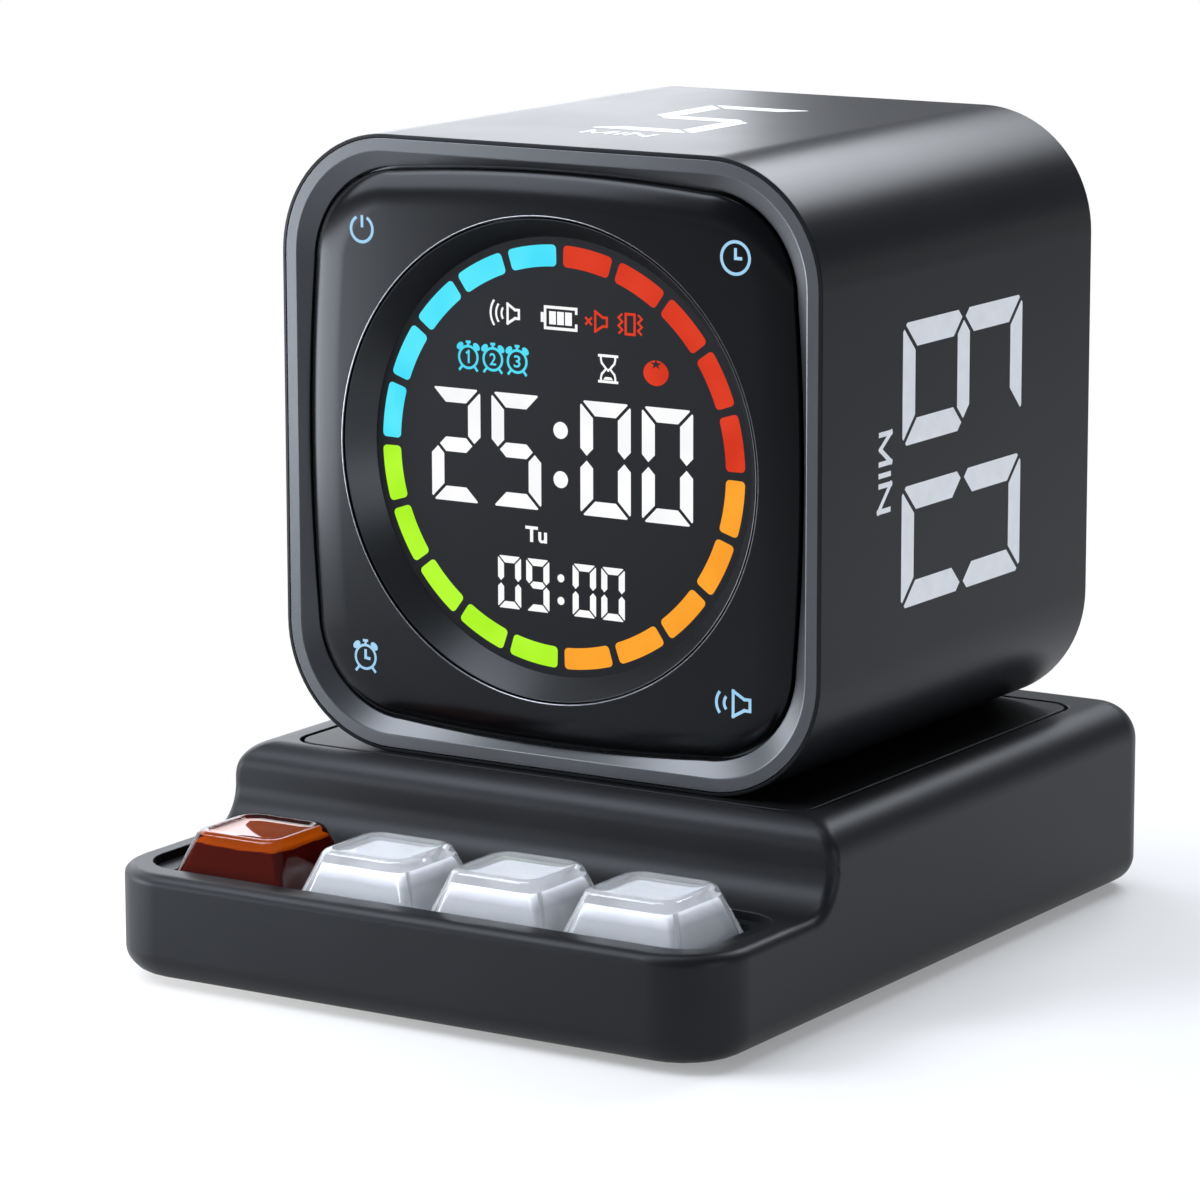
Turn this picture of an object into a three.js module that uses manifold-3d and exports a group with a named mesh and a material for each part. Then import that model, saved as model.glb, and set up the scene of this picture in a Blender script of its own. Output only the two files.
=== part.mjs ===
// Cube timer standing on a dock with four push keys.
// Millimetres, +Z up, front faces -Y, origin on the table under the middle of the dock.

import * as THREE from "three";
import { mergeVertices } from "three/addons/utils/BufferGeometryUtils.js";
import Module from "manifold-3d";

const wasm = await Module();
wasm.setup();

// Keys
const keyCount = 4;
const keyPitch = 19.2;
const keyTravel = 2.5;
const capWidth = 18.4;
const capDepth = 16.8;
const capTopWidth = 12.8;
const capTopDepth = 12.5;
const capHeight = 7.25;
const capRise = 4.5;
const capCorner = 1.7;
const capEdge = 0.5;
const capWall = 1.1;
const capRoof = 1.7;
const dishDepth = 0.45;
const dishMargin = 1.0;
const dishSlope = 0.5;
const coreClearance = 0.15;
const coreLift = 0.4;
const postRadius = 2.8;
const postEngagement = 2.6;
const postRoof = 0.8;
const postWall = 0.7;
const stemSkirtRadius = 4.4;
const stemSkirtHeight = 1.2;
const stemStopGap = 0.1;
const stemFloorGap = 0.2;
const switchLid = 0.8;
const switchWall = 1.6;
const switchBody = 13.6;
const switchFlangeLip = 0.7;
const switchFlangeHeight = 1.6;
const springRadius = 1.5;
const springWire = 0.4;
const springCurls = 6;
const springSeatGap = 0.1;
const pressClearance = 0.3;
const slideClearance = 0.3;

// Dock
const footLift = 0.8;
const footSeat = 0.6;
const footRadius = 5;
const footInset = 5;
const basePlateThickness = 1.6;
const basePlateRim = 0.8;
const boardLift = 0.8;
const keyBoardThickness = 1;
const keyPlateThickness = 1;
const keyPlateMargin = 1.6;
const baseWall = 2.2;
const recessDepth = 1.15;
const recessFloor = 1.5;
const recessFront = 0.85;
const recessRear = 2.15;
const recessEnd = 4;
const recessCorner = 6;
const capClearance = 0.45;
const trayFront = 4.1;
const traySide = 3.15;
const trayBack = 0.3;
const coveRadius = 5.1;
const noseRadius = 3.5;
const stepHeight = 10.65;
const trayEdge = 1.5;
const topEdge = 5;
const bottomEdge = 3.6;
const frontCorner = 9.3;
const rearCorner = 6.3;
const padTail = 0.5;
const padSide = 6.55;
const padFront = 3.6;
const padBack = 8.7;
const padThickness = 1.2;
const padFloor = 1.8;
const padCorner = 4;
const padGroove = 0.55;
const bossRadius = 3.2;
const bossMargin = 1.2;
const powerBoardWidth = 34;
const powerBoardDepth = 18;
const powerBoardThickness = 1.2;
const baseBatteryWidth = 50;
const baseBatteryDepth = 34;
const baseBatteryThickness = 6;

// Cube
const cubeWidth = 79.5;
const cubeHeight = 79.5;
const cubeDepth = 71;
const cubeCorner = 15.9;
const cubeSetback = 1.9;
const sleeveWall = 1.8;
const sleeveLip = 0.45;
const bezelGap = 0.25;
const bezelFlange = 1.3;
const bezelRim = 1.3;
const bezelSlopeWidth = 1.15;
const bezelSlopeDepth = 1.2;
const bezelLedge = 2;
const panelGap = 0.35;
const panelBulge = 1;
const panelCorner = 13;
const panelThickness = 2.6;
const panelRound = 5;
const panelRoundDepth = 1.3;
const dialMargin = 5.85;
const dialDepth = 3.6;
const dialSlope = 2.85;
const coneGap = 0.25;
const coneSet = 0.15;
const coneFlangeLip = 1.2;
const filmThickness = 0.4;
const filmMargin = 0.6;
const layerGap = 0.05;
const windowThickness = 1;
const moduleThickness = 6;
const mainBoardThickness = 1.6;
const frameGap = 0.35;
const frameWall = 2.2;
const frameBoardDepth = 12;
const frameBackDepth = 14;
const frameDeck = 2;
const postInset = 8.5;
const rearPostRadius = 3.4;
const cubeBatteryWidth = 44;
const cubeBatteryHeight = 30;
const cubeBatteryThickness = 9;
const motorRadius = 3.5;
const motorLength = 12;
const motorDrop = 24;
const weightRadius = 3;
const weightLength = 5;
const weightGap = 0.6;
const shaftRadius = 0.5;
const shaftClearance = 0.1;
const rearCoverThickness = 2.4;
const rearCoverInset = 0.3;
const speakerRadius = 17;
const speakerDepth = 9;
const speakerFlange = 1.6;
const speakerLift = 8;
const magnetRadius = 9;
const soundHoleRadius = 1;
const soundHolePitch = 4.2;
const soundHoleRings = 2;
const chargeBoardWidth = 18;
const chargeBoardDepth = 12;
const chargeBoardThickness = 1.2;

// Charging inlets and screws
const inletWidth = 8.9;
const inletHeight = 3.2;
const inletDepth = 7;
const inletWall = 0.35;
const inletMouthDepth = 6;
const inletClearance = 0.3;
const cubeInletDrop = 26;
const screwRadius = 1.25;
const screwHeadRadius = 2.6;
const screwHeadHeight = 0.8;
const screwLength = 7;
const screwRecess = 0.9;
const screwSlotWidth = 0.6;
const screwSlotDepth = 0.4;

// Heights of the dock's layers, from the table up
const dockBottom = footLift;
const basePlateTop = dockBottom + basePlateThickness;
const keyBoardBottom = basePlateTop + boardLift;
const keyBoardTop = keyBoardBottom + keyBoardThickness;
const switchHeight = stemFloorGap + keyTravel + stemSkirtHeight + stemStopGap + switchLid;
const switchTop = keyBoardTop + switchHeight;
const keyPlateTop = switchTop - switchFlangeHeight;
const capBottom = switchTop + keyTravel + pressClearance;
const capTop = capBottom + capHeight;
const trayTop = capTop - capRise;
const recessBottom = trayTop - recessDepth;
const trayCeiling = recessBottom - recessFloor;
const dockTop = trayTop + stepHeight;
const padBottom = dockTop - padThickness;
const blockCeiling = padBottom - padFloor;

// Plan of the dock
const keyRowHalf = ((keyCount - 1) / 2) * keyPitch;
const recessHalf = keyRowHalf + capWidth / 2 + recessEnd;
const recessBreadth = recessFront + capDepth + recessRear;
const dockHalf = recessHalf + traySide;
const padDepth = cubeSetback + cubeDepth + padTail;
const trayDepth = trayFront + recessBreadth + trayBack + coveRadius;
const dockDepth = trayDepth + padFront + padDepth + padBack;
const dockFront = -dockDepth / 2;
const dockBack = dockDepth / 2;
const wallFront = dockFront + trayDepth;
const recessY = dockFront + trayFront + recessBreadth / 2;
const keyRowY = dockFront + trayFront + recessFront + capDepth / 2;
const padFrontY = wallFront + padFront;
const padMiddleY = padFrontY + padDepth / 2;
const padHalf = dockHalf - padSide;
const basePlateInset = bottomEdge + basePlateRim;

// Depths of the cube's layers, from its front plane back, measured from its middle
const cubeFront = -cubeDepth / 2;
const cubeBack = cubeDepth / 2;
const panelBack = cubeFront + panelThickness;
const filmFront = panelBack + layerGap;
const filmBack = filmFront + filmThickness;
const windowFront = cubeFront + dialDepth;
const windowBack = windowFront + windowThickness;
const moduleFront = windowBack + layerGap;
const moduleBack = moduleFront + moduleThickness;
const mainBoardFront = moduleBack + layerGap;
const mainBoardBack = mainBoardFront + mainBoardThickness;
const frameFront = mainBoardBack + layerGap;
const deckFront = frameFront + frameBoardDepth;
const deckBack = deckFront + frameDeck;
const frameBack = deckBack + frameBackDepth;
const rearCoverBack = cubeBack - rearCoverInset;
const rearCoverFront = rearCoverBack - rearCoverThickness;

// Outlines of the cube's nested layers
const sleeveInnerWidth = cubeWidth - 2 * sleeveWall;
const sleeveInnerHeight = cubeHeight - 2 * sleeveWall;
const sleeveInnerCorner = cubeCorner - sleeveWall;
const rimOuterInset = sleeveLip + bezelGap;
const rimInnerInset = rimOuterInset + bezelRim;
const panelFrameInset = rimInnerInset + bezelSlopeWidth;
const dialRadius = Math.min(cubeWidth, cubeHeight) / 2 - panelFrameInset - dialMargin;
const displayRadius = dialRadius - dialSlope;

const smallSides = 12;
const roundSides = 40;
const cornerSteps = 6;
const filletSteps = 4;

// Materials, in the colours that the object shows
function finish(color, roughness, metalness = 0) {
  return new THREE.MeshStandardMaterial({ color, roughness, metalness });
}

const satinCharcoal = finish(0x2b2c30, 0.42);
const satinBlack = finish(0x202124, 0.4);
const glossBlack = finish(0x0a0a0c, 0.08);
const smokedLens = finish(0x17181a, 0.15);
const innerBlack = finish(0x1c1c1e, 0.6);
const softBlack = finish(0x26272a, 0.7);
const boardGreen = finish(0x1d4a33, 0.5);
const chipBlack = finish(0x18181a, 0.4);
const cellSilver = finish(0xb8bcc2, 0.35, 0.4);
const steel = finish(0xb4b6ba, 0.3, 0.9);
const screwBlack = finish(0x2a2a2c, 0.35, 0.8);
const coneFibre = finish(0x2a2826, 0.9);
const clearCap = finish(0xe6e8ec, 0.08);
const orangeCap = finish(0xf08018, 0.08);
const whiteCore = finish(0xf0f1f4, 0.45);
const redCore = finish(0x7a2412, 0.4);
const stemWhite = finish(0xdedfe2, 0.45);
const lightGuide = finish(0xcfd2d6, 0.5);

// Solids, joins and cuts

// A closed geometry with shared corners merged and its faces turned outwards.
function closed(geometry) {
  const bare = geometry.clone();
  bare.deleteAttribute("normal");
  if (bare.getAttribute("uv")) bare.deleteAttribute("uv");
  const merged = mergeVertices(bare, 1e-4);
  const position = merged.getAttribute("position");
  const source = merged.index.array;
  const faces = [];
  let volume = 0;
  const [a, b, c] = [new THREE.Vector3(), new THREE.Vector3(), new THREE.Vector3()];
  for (let i = 0; i < source.length; i += 3) {
    const [p, q, r] = [source[i], source[i + 1], source[i + 2]];
    if (p === q || q === r || r === p) continue;
    a.fromBufferAttribute(position, p);
    b.fromBufferAttribute(position, q);
    c.fromBufferAttribute(position, r);
    volume += a.dot(b.cross(c));
    faces.push(p, q, r);
  }
  if (volume < 0) faces.reverse();
  merged.setIndex(faces);
  return merged;
}

function toManifold(geometry) {
  const shape = closed(geometry);
  const vertProperties = new Float32Array(shape.getAttribute("position").array);
  const triVerts = new Uint32Array(shape.index.array);
  return new wasm.Manifold(new wasm.Mesh({ numProp: 3, vertProperties, triVerts }));
}

function fromManifold(manifold) {
  const mesh = manifold.getMesh();
  const geometry = new THREE.BufferGeometry();
  geometry.setAttribute("position", new THREE.BufferAttribute(new Float32Array(mesh.vertProperties), 3));
  geometry.setIndex(new THREE.BufferAttribute(new Uint32Array(mesh.triVerts), 1));
  return geometry;
}

function join(first, ...others) {
  return fromManifold(others.reduce((sum, other) => sum.add(toManifold(other)), toManifold(first)));
}

function cut(first, ...tools) {
  return fromManifold(tools.reduce((rest, tool) => rest.subtract(toManifold(tool)), toManifold(first)));
}

function addPart(group, name, geometry, material) {
  const shape = closed(geometry);
  shape.computeVertexNormals();
  const mesh = new THREE.Mesh(shape, material);
  mesh.name = name;
  group.add(mesh);
}

// Basic shapes

function roundedShape(width, height, corner) {
  const [x, y] = [width / 2, height / 2];
  const shape = new THREE.Shape();
  shape.moveTo(x - corner, -y);
  shape.absarc(x - corner, -y + corner, corner, -Math.PI / 2, 0);
  shape.absarc(x - corner, y - corner, corner, 0, Math.PI / 2);
  shape.absarc(-x + corner, y - corner, corner, Math.PI / 2, Math.PI);
  shape.absarc(-x + corner, -y + corner, corner, Math.PI, 1.5 * Math.PI);
  shape.closePath();
  return shape;
}

// An outline raised along Z from one height to another.
function raised(shape, bottom, top, curveSegments = cornerSteps / 2) {
  const options = { depth: top - bottom, bevelEnabled: false, curveSegments };
  return new THREE.ExtrudeGeometry(shape, options).translate(0, 0, bottom);
}

// An upright outline, drawn in X and Z, run along Y from front to back.
function upright(shape, front, back, curveSegments) {
  return raised(shape, -back, -front, curveSegments).rotateX(Math.PI / 2);
}

function box(width, depth, height, x, y, z) {
  return new THREE.BoxGeometry(width, depth, height).translate(x, y, z);
}

// A round bar along Z.
function bar(radius, bottom, top, x = 0, y = 0, sides = smallSides) {
  const geometry = new THREE.CylinderGeometry(radius, radius, top - bottom, sides);
  return geometry.rotateX(Math.PI / 2).translate(x, y, (bottom + top) / 2);
}

// A round bar along Y.
function barAlongY(radius, front, back, x = 0, z = 0, sides = smallSides) {
  const geometry = new THREE.CylinderGeometry(radius, radius, back - front, sides);
  return geometry.translate(x, (front + back) / 2, z);
}

// A round bar along X.
function barAlongX(radius, left, right, y = 0, z = 0, sides = smallSides) {
  const geometry = new THREE.CylinderGeometry(radius, radius, right - left, sides);
  return geometry.rotateZ(Math.PI / 2).translate((left + right) / 2, y, z);
}

// A turned piece round Y from radius and depth pairs that close on themselves.
function turnedAlongY(profile, sides = roundSides) {
  const points = [...profile, profile[0]].map(([radius, y]) => new THREE.Vector2(radius, y));
  return new THREE.LatheGeometry(points, sides);
}

// A skin over matching rings of points, closed at both ends by flat lids.
function loft(rings, flatten) {
  const count = rings[0].length;
  const faces = [];
  for (let ring = 0; ring < rings.length - 1; ring++) {
    for (let i = 0; i < count; i++) {
      const a = ring * count + i;
      const b = ring * count + ((i + 1) % count);
      faces.push(a, b, b + count, a, b + count, a + count);
    }
  }
  const lastStart = (rings.length - 1) * count;
  for (const [ring, start, ahead] of [[rings[0], 0, false], [rings.at(-1), lastStart, true]]) {
    const contour = ring.map(flatten);
    const winding = THREE.ShapeUtils.area(contour) > 0;
    for (const triangle of THREE.ShapeUtils.triangulateShape(contour, [])) {
      const corners = triangle.map((corner) => contour[corner]);
      const follows = THREE.ShapeUtils.area(corners) > 0 === winding;
      const ordered = follows === ahead ? triangle : [...triangle].reverse();
      faces.push(...ordered.map((corner) => corner + start));
    }
  }
  const geometry = new THREE.BufferGeometry();
  const positions = rings.flat().flatMap((point) => [point.x, point.y, point.z]);
  geometry.setAttribute("position", new THREE.Float32BufferAttribute(positions, 3));
  geometry.setIndex(faces);
  geometry.setAttribute("normal", new THREE.Float32BufferAttribute(positions, 3));
  return geometry;
}

// Points of a rounded rectangle, with its own radius at the front and the rear corners.
function roundedRing(left, right, front, back, frontRadius, rearRadius, z) {
  const corners = [
    [right, front, frontRadius, -Math.PI / 2],
    [right, back, rearRadius, 0],
    [left, back, rearRadius, Math.PI / 2],
    [left, front, frontRadius, Math.PI],
  ];
  const points = [];
  for (const [x, y, radius, start] of corners) {
    const centreX = x - Math.sign(x - (left + right) / 2) * radius;
    const centreY = y - Math.sign(y - (front + back) / 2) * radius;
    for (let step = 0; step <= cornerSteps; step++) {
      const angle = start + (step / cornerSteps) * (Math.PI / 2);
      const [dx, dy] = [Math.cos(angle) * radius, Math.sin(angle) * radius];
      points.push(new THREE.Vector3(centreX + dx, centreY + dy, z));
    }
  }
  return points;
}

const fromAbove = (point) => new THREE.Vector2(point.x, point.y);
const fromSide = (point) => new THREE.Vector2(point.y, point.z);
const fromFront = (point) => new THREE.Vector2(point.x, point.z);

// How far a rounded edge of a given radius draws in, at a distance from the face that it meets.
function filletInset(radius, distance) {
  if (distance >= radius) return 0;
  return radius - Math.sqrt(radius * radius - (radius - distance) ** 2);
}

// Distances from a face that step evenly round a fillet.
function filletDistances(radius, count = filletSteps) {
  const steps = Array.from({ length: count + 1 }, (_, i) => (i / count) * (Math.PI / 2));
  return steps.map((angle) => radius * (1 - Math.cos(angle)));
}

const product = new THREE.Group();

// Screw along Z with its slotted head at the bottom, pointing up.
function screw(headBottom, x, y) {
  const head = bar(screwHeadRadius, headBottom, headBottom + screwHeadHeight, x, y);
  const shank = bar(screwRadius, headBottom + screwHeadHeight / 2, headBottom + screwLength, x, y);
  const slotHeight = 2 * screwSlotDepth;
  const slot = box(2 * screwHeadRadius + 1, screwSlotWidth, slotHeight, x, y, headBottom);
  return cut(join(head, shank), slot);
}

// Charging inlet: a flat round-ended metal mouth, open at the back, blind at the front.
function inlet(z, front, back) {
  const outer = upright(roundedShape(inletWidth, inletHeight, inletHeight / 2), front, back);
  const mouthHeight = inletHeight - 2 * inletWall;
  const mouthShape = roundedShape(inletWidth - 2 * inletWall, mouthHeight, mouthHeight / 2);
  const mouth = upright(mouthShape, back - inletMouthDepth, back + 1);
  return cut(outer, mouth).translate(0, 0, z);
}

// Opening that an inlet sits in, with its clearance all round.
function inletOpening(z, front, back) {
  const height = inletHeight + 2 * inletClearance;
  const shape = roundedShape(inletWidth + 2 * inletClearance, height, height / 2);
  return upright(shape, front, back).translate(0, 0, z);
}

// Dock shell

const bossShift = basePlateInset + screwHeadRadius + bossMargin;
const bossX = dockHalf - bossShift;
const frontBossY = wallFront - bossRadius;
const rearBossY = dockBack - bossShift - rearCorner / 3;
const bossPlaces = [
  [-bossX, frontBossY, trayCeiling],
  [bossX, frontBossY, trayCeiling],
  [-bossX, rearBossY, blockCeiling],
  [bossX, rearBossY, blockCeiling],
];
const baseInletZ = basePlateTop + boardLift + powerBoardThickness + layerGap + inletHeight / 2;

function dockRing(inset, z) {
  const front = Math.max(frontCorner - inset, 0.5);
  const rear = Math.max(rearCorner - inset, 0.5);
  return roundedRing(-dockHalf + inset, dockHalf - inset, dockFront + inset, dockBack - inset, front, rear, z);
}

// The full-length lower body, rounded along its bottom edge and its tray edge.
function lowerBody() {
  const rings = [];
  for (const rise of filletDistances(bottomEdge)) {
    rings.push(dockRing(filletInset(bottomEdge, rise), dockBottom + rise));
  }
  for (const drop of filletDistances(trayEdge).reverse()) {
    rings.push(dockRing(filletInset(trayEdge, drop), trayTop - drop));
  }
  return loft(rings, fromAbove);
}

// The raised rear block, rounded along its top edges and along the nose over the keys.
function rearBlock() {
  const start = dockBottom + bottomEdge;
  const ring = (drop, z) => {
    const side = filletInset(topEdge, drop);
    const nose = filletInset(noseRadius, drop);
    const rear = Math.max(rearCorner - side, 0.5);
    return roundedRing(-dockHalf + side, dockHalf - side, wallFront + nose, dockBack - side, trayEdge, rear, z);
  };
  const rings = [ring(topEdge, start)];
  for (const drop of filletDistances(topEdge).reverse()) rings.push(ring(drop, dockTop - drop));
  return loft(rings, fromAbove);
}

// The hollow curve that runs from the tray up into the rear block, rounded at its two ends.
function cove() {
  const depthIn = wallFront + 2 * trayEdge;
  const section = (inset, x) => {
    const radius = coveRadius + inset;
    const points = [];
    for (let step = 0; step <= cornerSteps; step++) {
      const angle = -Math.PI / 2 + (step / cornerSteps) * (Math.PI / 2);
      const y = wallFront - coveRadius + Math.cos(angle) * radius;
      const z = trayTop + coveRadius + Math.sin(angle) * radius;
      points.push(new THREE.Vector3(x, y, z));
    }
    points.push(new THREE.Vector3(x, depthIn, trayTop + coveRadius));
    points.push(new THREE.Vector3(x, depthIn, trayTop - 2 * trayEdge));
    points.push(new THREE.Vector3(x, wallFront - coveRadius, trayTop - 2 * trayEdge));
    return points;
  };
  const ends = filletDistances(trayEdge);
  const rings = ends.map((end) => section(filletInset(trayEdge, end), -dockHalf + end));
  rings.push(...ends.reverse().map((end) => section(filletInset(trayEdge, end), dockHalf - end)));
  return loft(rings, fromSide);
}

function dockPlan(inset, front, back, cornerFront, cornerRear, bottom, top) {
  const [left, right] = [-dockHalf + inset, dockHalf - inset];
  const ring = (z) => roundedRing(left, right, front, back, cornerFront, cornerRear, z);
  return loft([ring(bottom), ring(top)], fromAbove);
}

const innerFrontCorner = Math.max(frontCorner - baseWall, 1);
const innerRearCorner = Math.max(rearCorner - baseWall, 1);
const innerFront = dockFront + baseWall;
const innerBack = dockBack - baseWall;

const recess = raised(roundedShape(2 * recessHalf, recessBreadth, recessCorner), recessBottom, trayTop + 1);
const windowWidth = 2 * keyRowHalf + capWidth + 2 * capClearance;
const windowDepth = capDepth + 2 * capClearance;
const windowShape = roundedShape(windowWidth, windowDepth, capCorner + capClearance);
const keyWindow = raised(windowShape, trayCeiling - 1, trayTop + 1);
const padWidth = 2 * padHalf;
const padRecess = raised(roundedShape(padWidth, padDepth, padCorner), padBottom, dockTop + 1);

const shellBody = join(lowerBody(), rearBlock(), cove());
const shellHollow = cut(
  shellBody,
  dockPlan(baseWall, innerFront, innerBack, innerFrontCorner, innerRearCorner, basePlateTop, trayCeiling),
  dockPlan(baseWall, wallFront + baseWall, innerBack, 1, innerRearCorner, trayCeiling - 1, blockCeiling),
  loft([dockRing(basePlateInset - slideClearance, dockBottom - 1), dockRing(basePlateInset - slideClearance, basePlateTop + 1)], fromAbove),
  recess.translate(0, recessY, 0),
  keyWindow.translate(0, keyRowY, 0),
  padRecess.translate(0, padMiddleY, 0),
  inletOpening(baseInletZ, innerBack - 1, dockBack + 1),
);
const shellBosses = bossPlaces.map(([x, y, ceiling]) => bar(bossRadius, basePlateTop, ceiling + 0.5, x, y));
const bossBore = screwRadius + slideClearance;
const screwTip = dockBottom + screwRecess - screwHeadHeight + screwLength;
const shellBores = bossPlaces.map(([x, y]) => bar(bossBore, basePlateTop - 1, screwTip + 1, x, y));
addPart(product, "base_shell", cut(join(shellHollow, ...shellBosses), ...shellBores), satinBlack);

// Mat that the cube stands on, let into the dock's top with a fine groove round it
const padShape = roundedShape(padWidth - 2 * padGroove, padDepth - 2 * padGroove, padCorner - padGroove);
addPart(product, "rest_pad", raised(padShape, padBottom, dockTop).translate(0, padMiddleY, 0), softBlack);

// Bottom cover with its screws, feet and the pegs that carry the boards

const footShift = basePlateInset + footInset + footRadius;
const footX = dockHalf - footShift;
const frontFootY = dockFront + footShift;
const rearFootY = dockBack - footShift - 2 * bossRadius;
const footPlaces = [
  [-footX, frontFootY],
  [footX, frontFootY],
  [-footX, rearFootY],
  [footX, rearFootY],
];
const pegRadius = 2;
const keyPegX = keyRowHalf - keyPitch / 2;
const powerBoardBack = innerBack - 1;
const powerBoardY = powerBoardBack - powerBoardDepth / 2;
const powerPegX = powerBoardWidth / 2 - 2 * pegRadius;
const pegPlaces = [
  [-keyPegX, keyRowY],
  [keyPegX, keyRowY],
  [-powerPegX, powerBoardY],
  [powerPegX, powerBoardY],
];
const plateRing = (z) => dockRing(basePlateInset, z);
const footSeatTop = dockBottom + footSeat;
const basePlate = cut(
  join(
    loft([plateRing(dockBottom), plateRing(basePlateTop)], fromAbove),
    ...pegPlaces.map(([x, y]) => bar(pegRadius, basePlateTop - 0.5, keyBoardBottom, x, y)),
  ),
  ...footPlaces.map(([x, y]) => bar(footRadius + slideClearance, dockBottom - 1, footSeatTop, x, y, 20)),
  ...bossPlaces.map(([x, y]) => bar(screwHeadRadius + slideClearance, dockBottom - 1, dockBottom + screwRecess, x, y)),
  ...bossPlaces.map(([x, y]) => bar(screwRadius + slideClearance, dockBottom, basePlateTop + 1, x, y)),
);
addPart(product, "base_plate", basePlate, innerBlack);

footPlaces.forEach(([x, y], i) => {
  addPart(product, `foot_${i + 1}`, bar(footRadius, 0, footSeatTop, x, y, 20), softBlack);
});
bossPlaces.forEach(([x, y], i) => {
  const headBottom = dockBottom + screwRecess - screwHeadHeight;
  addPart(product, `base_screw_${i + 1}`, screw(headBottom, x, y), screwBlack);
});

// Boards, cell and inlet in the dock

const keyXs = Array.from({ length: keyCount }, (_, i) => -keyRowHalf + i * keyPitch);
const keyBoardWidth = 2 * keyRowHalf + switchBody + 2 * keyPlateMargin;
const keyBoardDepth = switchBody + 2 * keyPlateMargin;
const keyBoard = raised(roundedShape(keyBoardWidth, keyBoardDepth, 1), keyBoardBottom, keyBoardTop, 1);
addPart(product, "key_board", keyBoard.translate(0, keyRowY, 0), boardGreen);

const plateBottom = keyPlateTop - keyPlateThickness;
const plateBlank = raised(roundedShape(keyBoardWidth, keyBoardDepth, 1), plateBottom, keyPlateTop, 1);
const switchHole = switchBody + 2 * slideClearance;
const plateMiddle = keyPlateTop - keyPlateThickness / 2;
const plateHoles = keyXs.map((x) => box(switchHole, switchHole, 2 * keyPlateThickness, x, 0, plateMiddle));
addPart(product, "key_plate", cut(plateBlank, ...plateHoles).translate(0, keyRowY, 0), steel);

const powerBoardTop = keyBoardBottom + powerBoardThickness;
const powerBoard = box(
  powerBoardWidth, powerBoardDepth, powerBoardThickness, 0, powerBoardY, (keyBoardBottom + powerBoardTop) / 2,
);
addPart(product, "power_board", powerBoard, boardGreen);

const baseInletBack = dockBack - layerGap;
addPart(product, "base_usb_socket", inlet(baseInletZ, baseInletBack - inletDepth, baseInletBack), steel);

const cellBottom = basePlateTop + layerGap;
const cellBack = powerBoardBack - powerBoardDepth - 2;
const cellTop = cellBottom + baseBatteryThickness;
const baseCell = raised(roundedShape(baseBatteryWidth, baseBatteryDepth, 2), cellBottom, cellTop, 1);
addPart(product, "base_battery", baseCell.translate(0, cellBack - baseBatteryDepth / 2, 0), cellSilver);

// Keys: housing fixed in the plate, stem and spring inside it, core and clear shell on the stem

// Outline of the tapered cap at a height above its bottom, drawn in from the outer cap.
function capRing(inset, height) {
  const share = height / capHeight;
  const halfX = (capWidth - (capWidth - capTopWidth) * share) / 2 - inset;
  const halfY = (capDepth - (capDepth - capTopDepth) * share) / 2 - inset;
  const corner = Math.max(capCorner - capEdge * share - inset, 0.4);
  return roundedRing(-halfX, halfX, -halfY, halfY, corner, corner, capBottom + height);
}

function capForm(inset, low, high) {
  return loft([capRing(inset, low), capRing(inset, high)], fromAbove);
}

function capShell() {
  const rings = [capRing(0, 0)];
  for (const drop of filletDistances(capEdge, 2).reverse()) {
    rings.push(capRing(filletInset(capEdge, drop), capHeight - drop));
  }
  const hollow = capForm(capWall, -1, capHeight - capRoof);
  const dishRing = (inset, z) => capRing(inset, capHeight).map((point) => point.setZ(z));
  const dish = loft(
    [dishRing(dishMargin + dishSlope, capTop - dishDepth), dishRing(dishMargin - dishSlope, capTop + dishDepth)],
    fromAbove,
  );
  return cut(loft(rings, fromAbove), hollow, dish);
}

const postTop = capBottom + postEngagement;
const socketTop = postTop + slideClearance;

function capCore() {
  const body = capForm(capWall + coreClearance, coreLift, capHeight - capRoof - coreClearance);
  const socket = bar(postRadius + slideClearance, capBottom - 1, socketTop, 0, 0, 20);
  return cut(body, socket);
}

const skirtTop = switchTop - switchLid - stemStopGap;
const skirtBottom = skirtTop - stemSkirtHeight;
const springBore = postRadius - postWall;

function switchStem() {
  const skirt = bar(stemSkirtRadius, skirtBottom, skirtTop, 0, 0, 20);
  const post = bar(postRadius, skirtBottom + stemSkirtHeight / 2, postTop, 0, 0, 20);
  return cut(join(skirt, post), bar(springBore, skirtBottom - 1, postTop - postRoof));
}

function switchHousing() {
  const body = raised(roundedShape(switchBody, switchBody, 1), keyBoardTop, keyPlateTop + switchLid, 1);
  const flangeWidth = switchBody + 2 * switchFlangeLip;
  const flange = raised(roundedShape(flangeWidth, flangeWidth, 1.2), keyPlateTop, switchTop, 1);
  const hollowWidth = switchBody - 2 * switchWall;
  const hollowHeight = switchHeight - switchLid + 1;
  const hollow = box(hollowWidth, hollowWidth, hollowHeight, 0, 0, switchTop - switchLid - hollowHeight / 2);
  const postHole = bar(postRadius + slideClearance, switchTop - 2 * switchLid, switchTop + 1, 0, 0, 20);
  return cut(join(body, flange), hollow, postHole);
}

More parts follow.
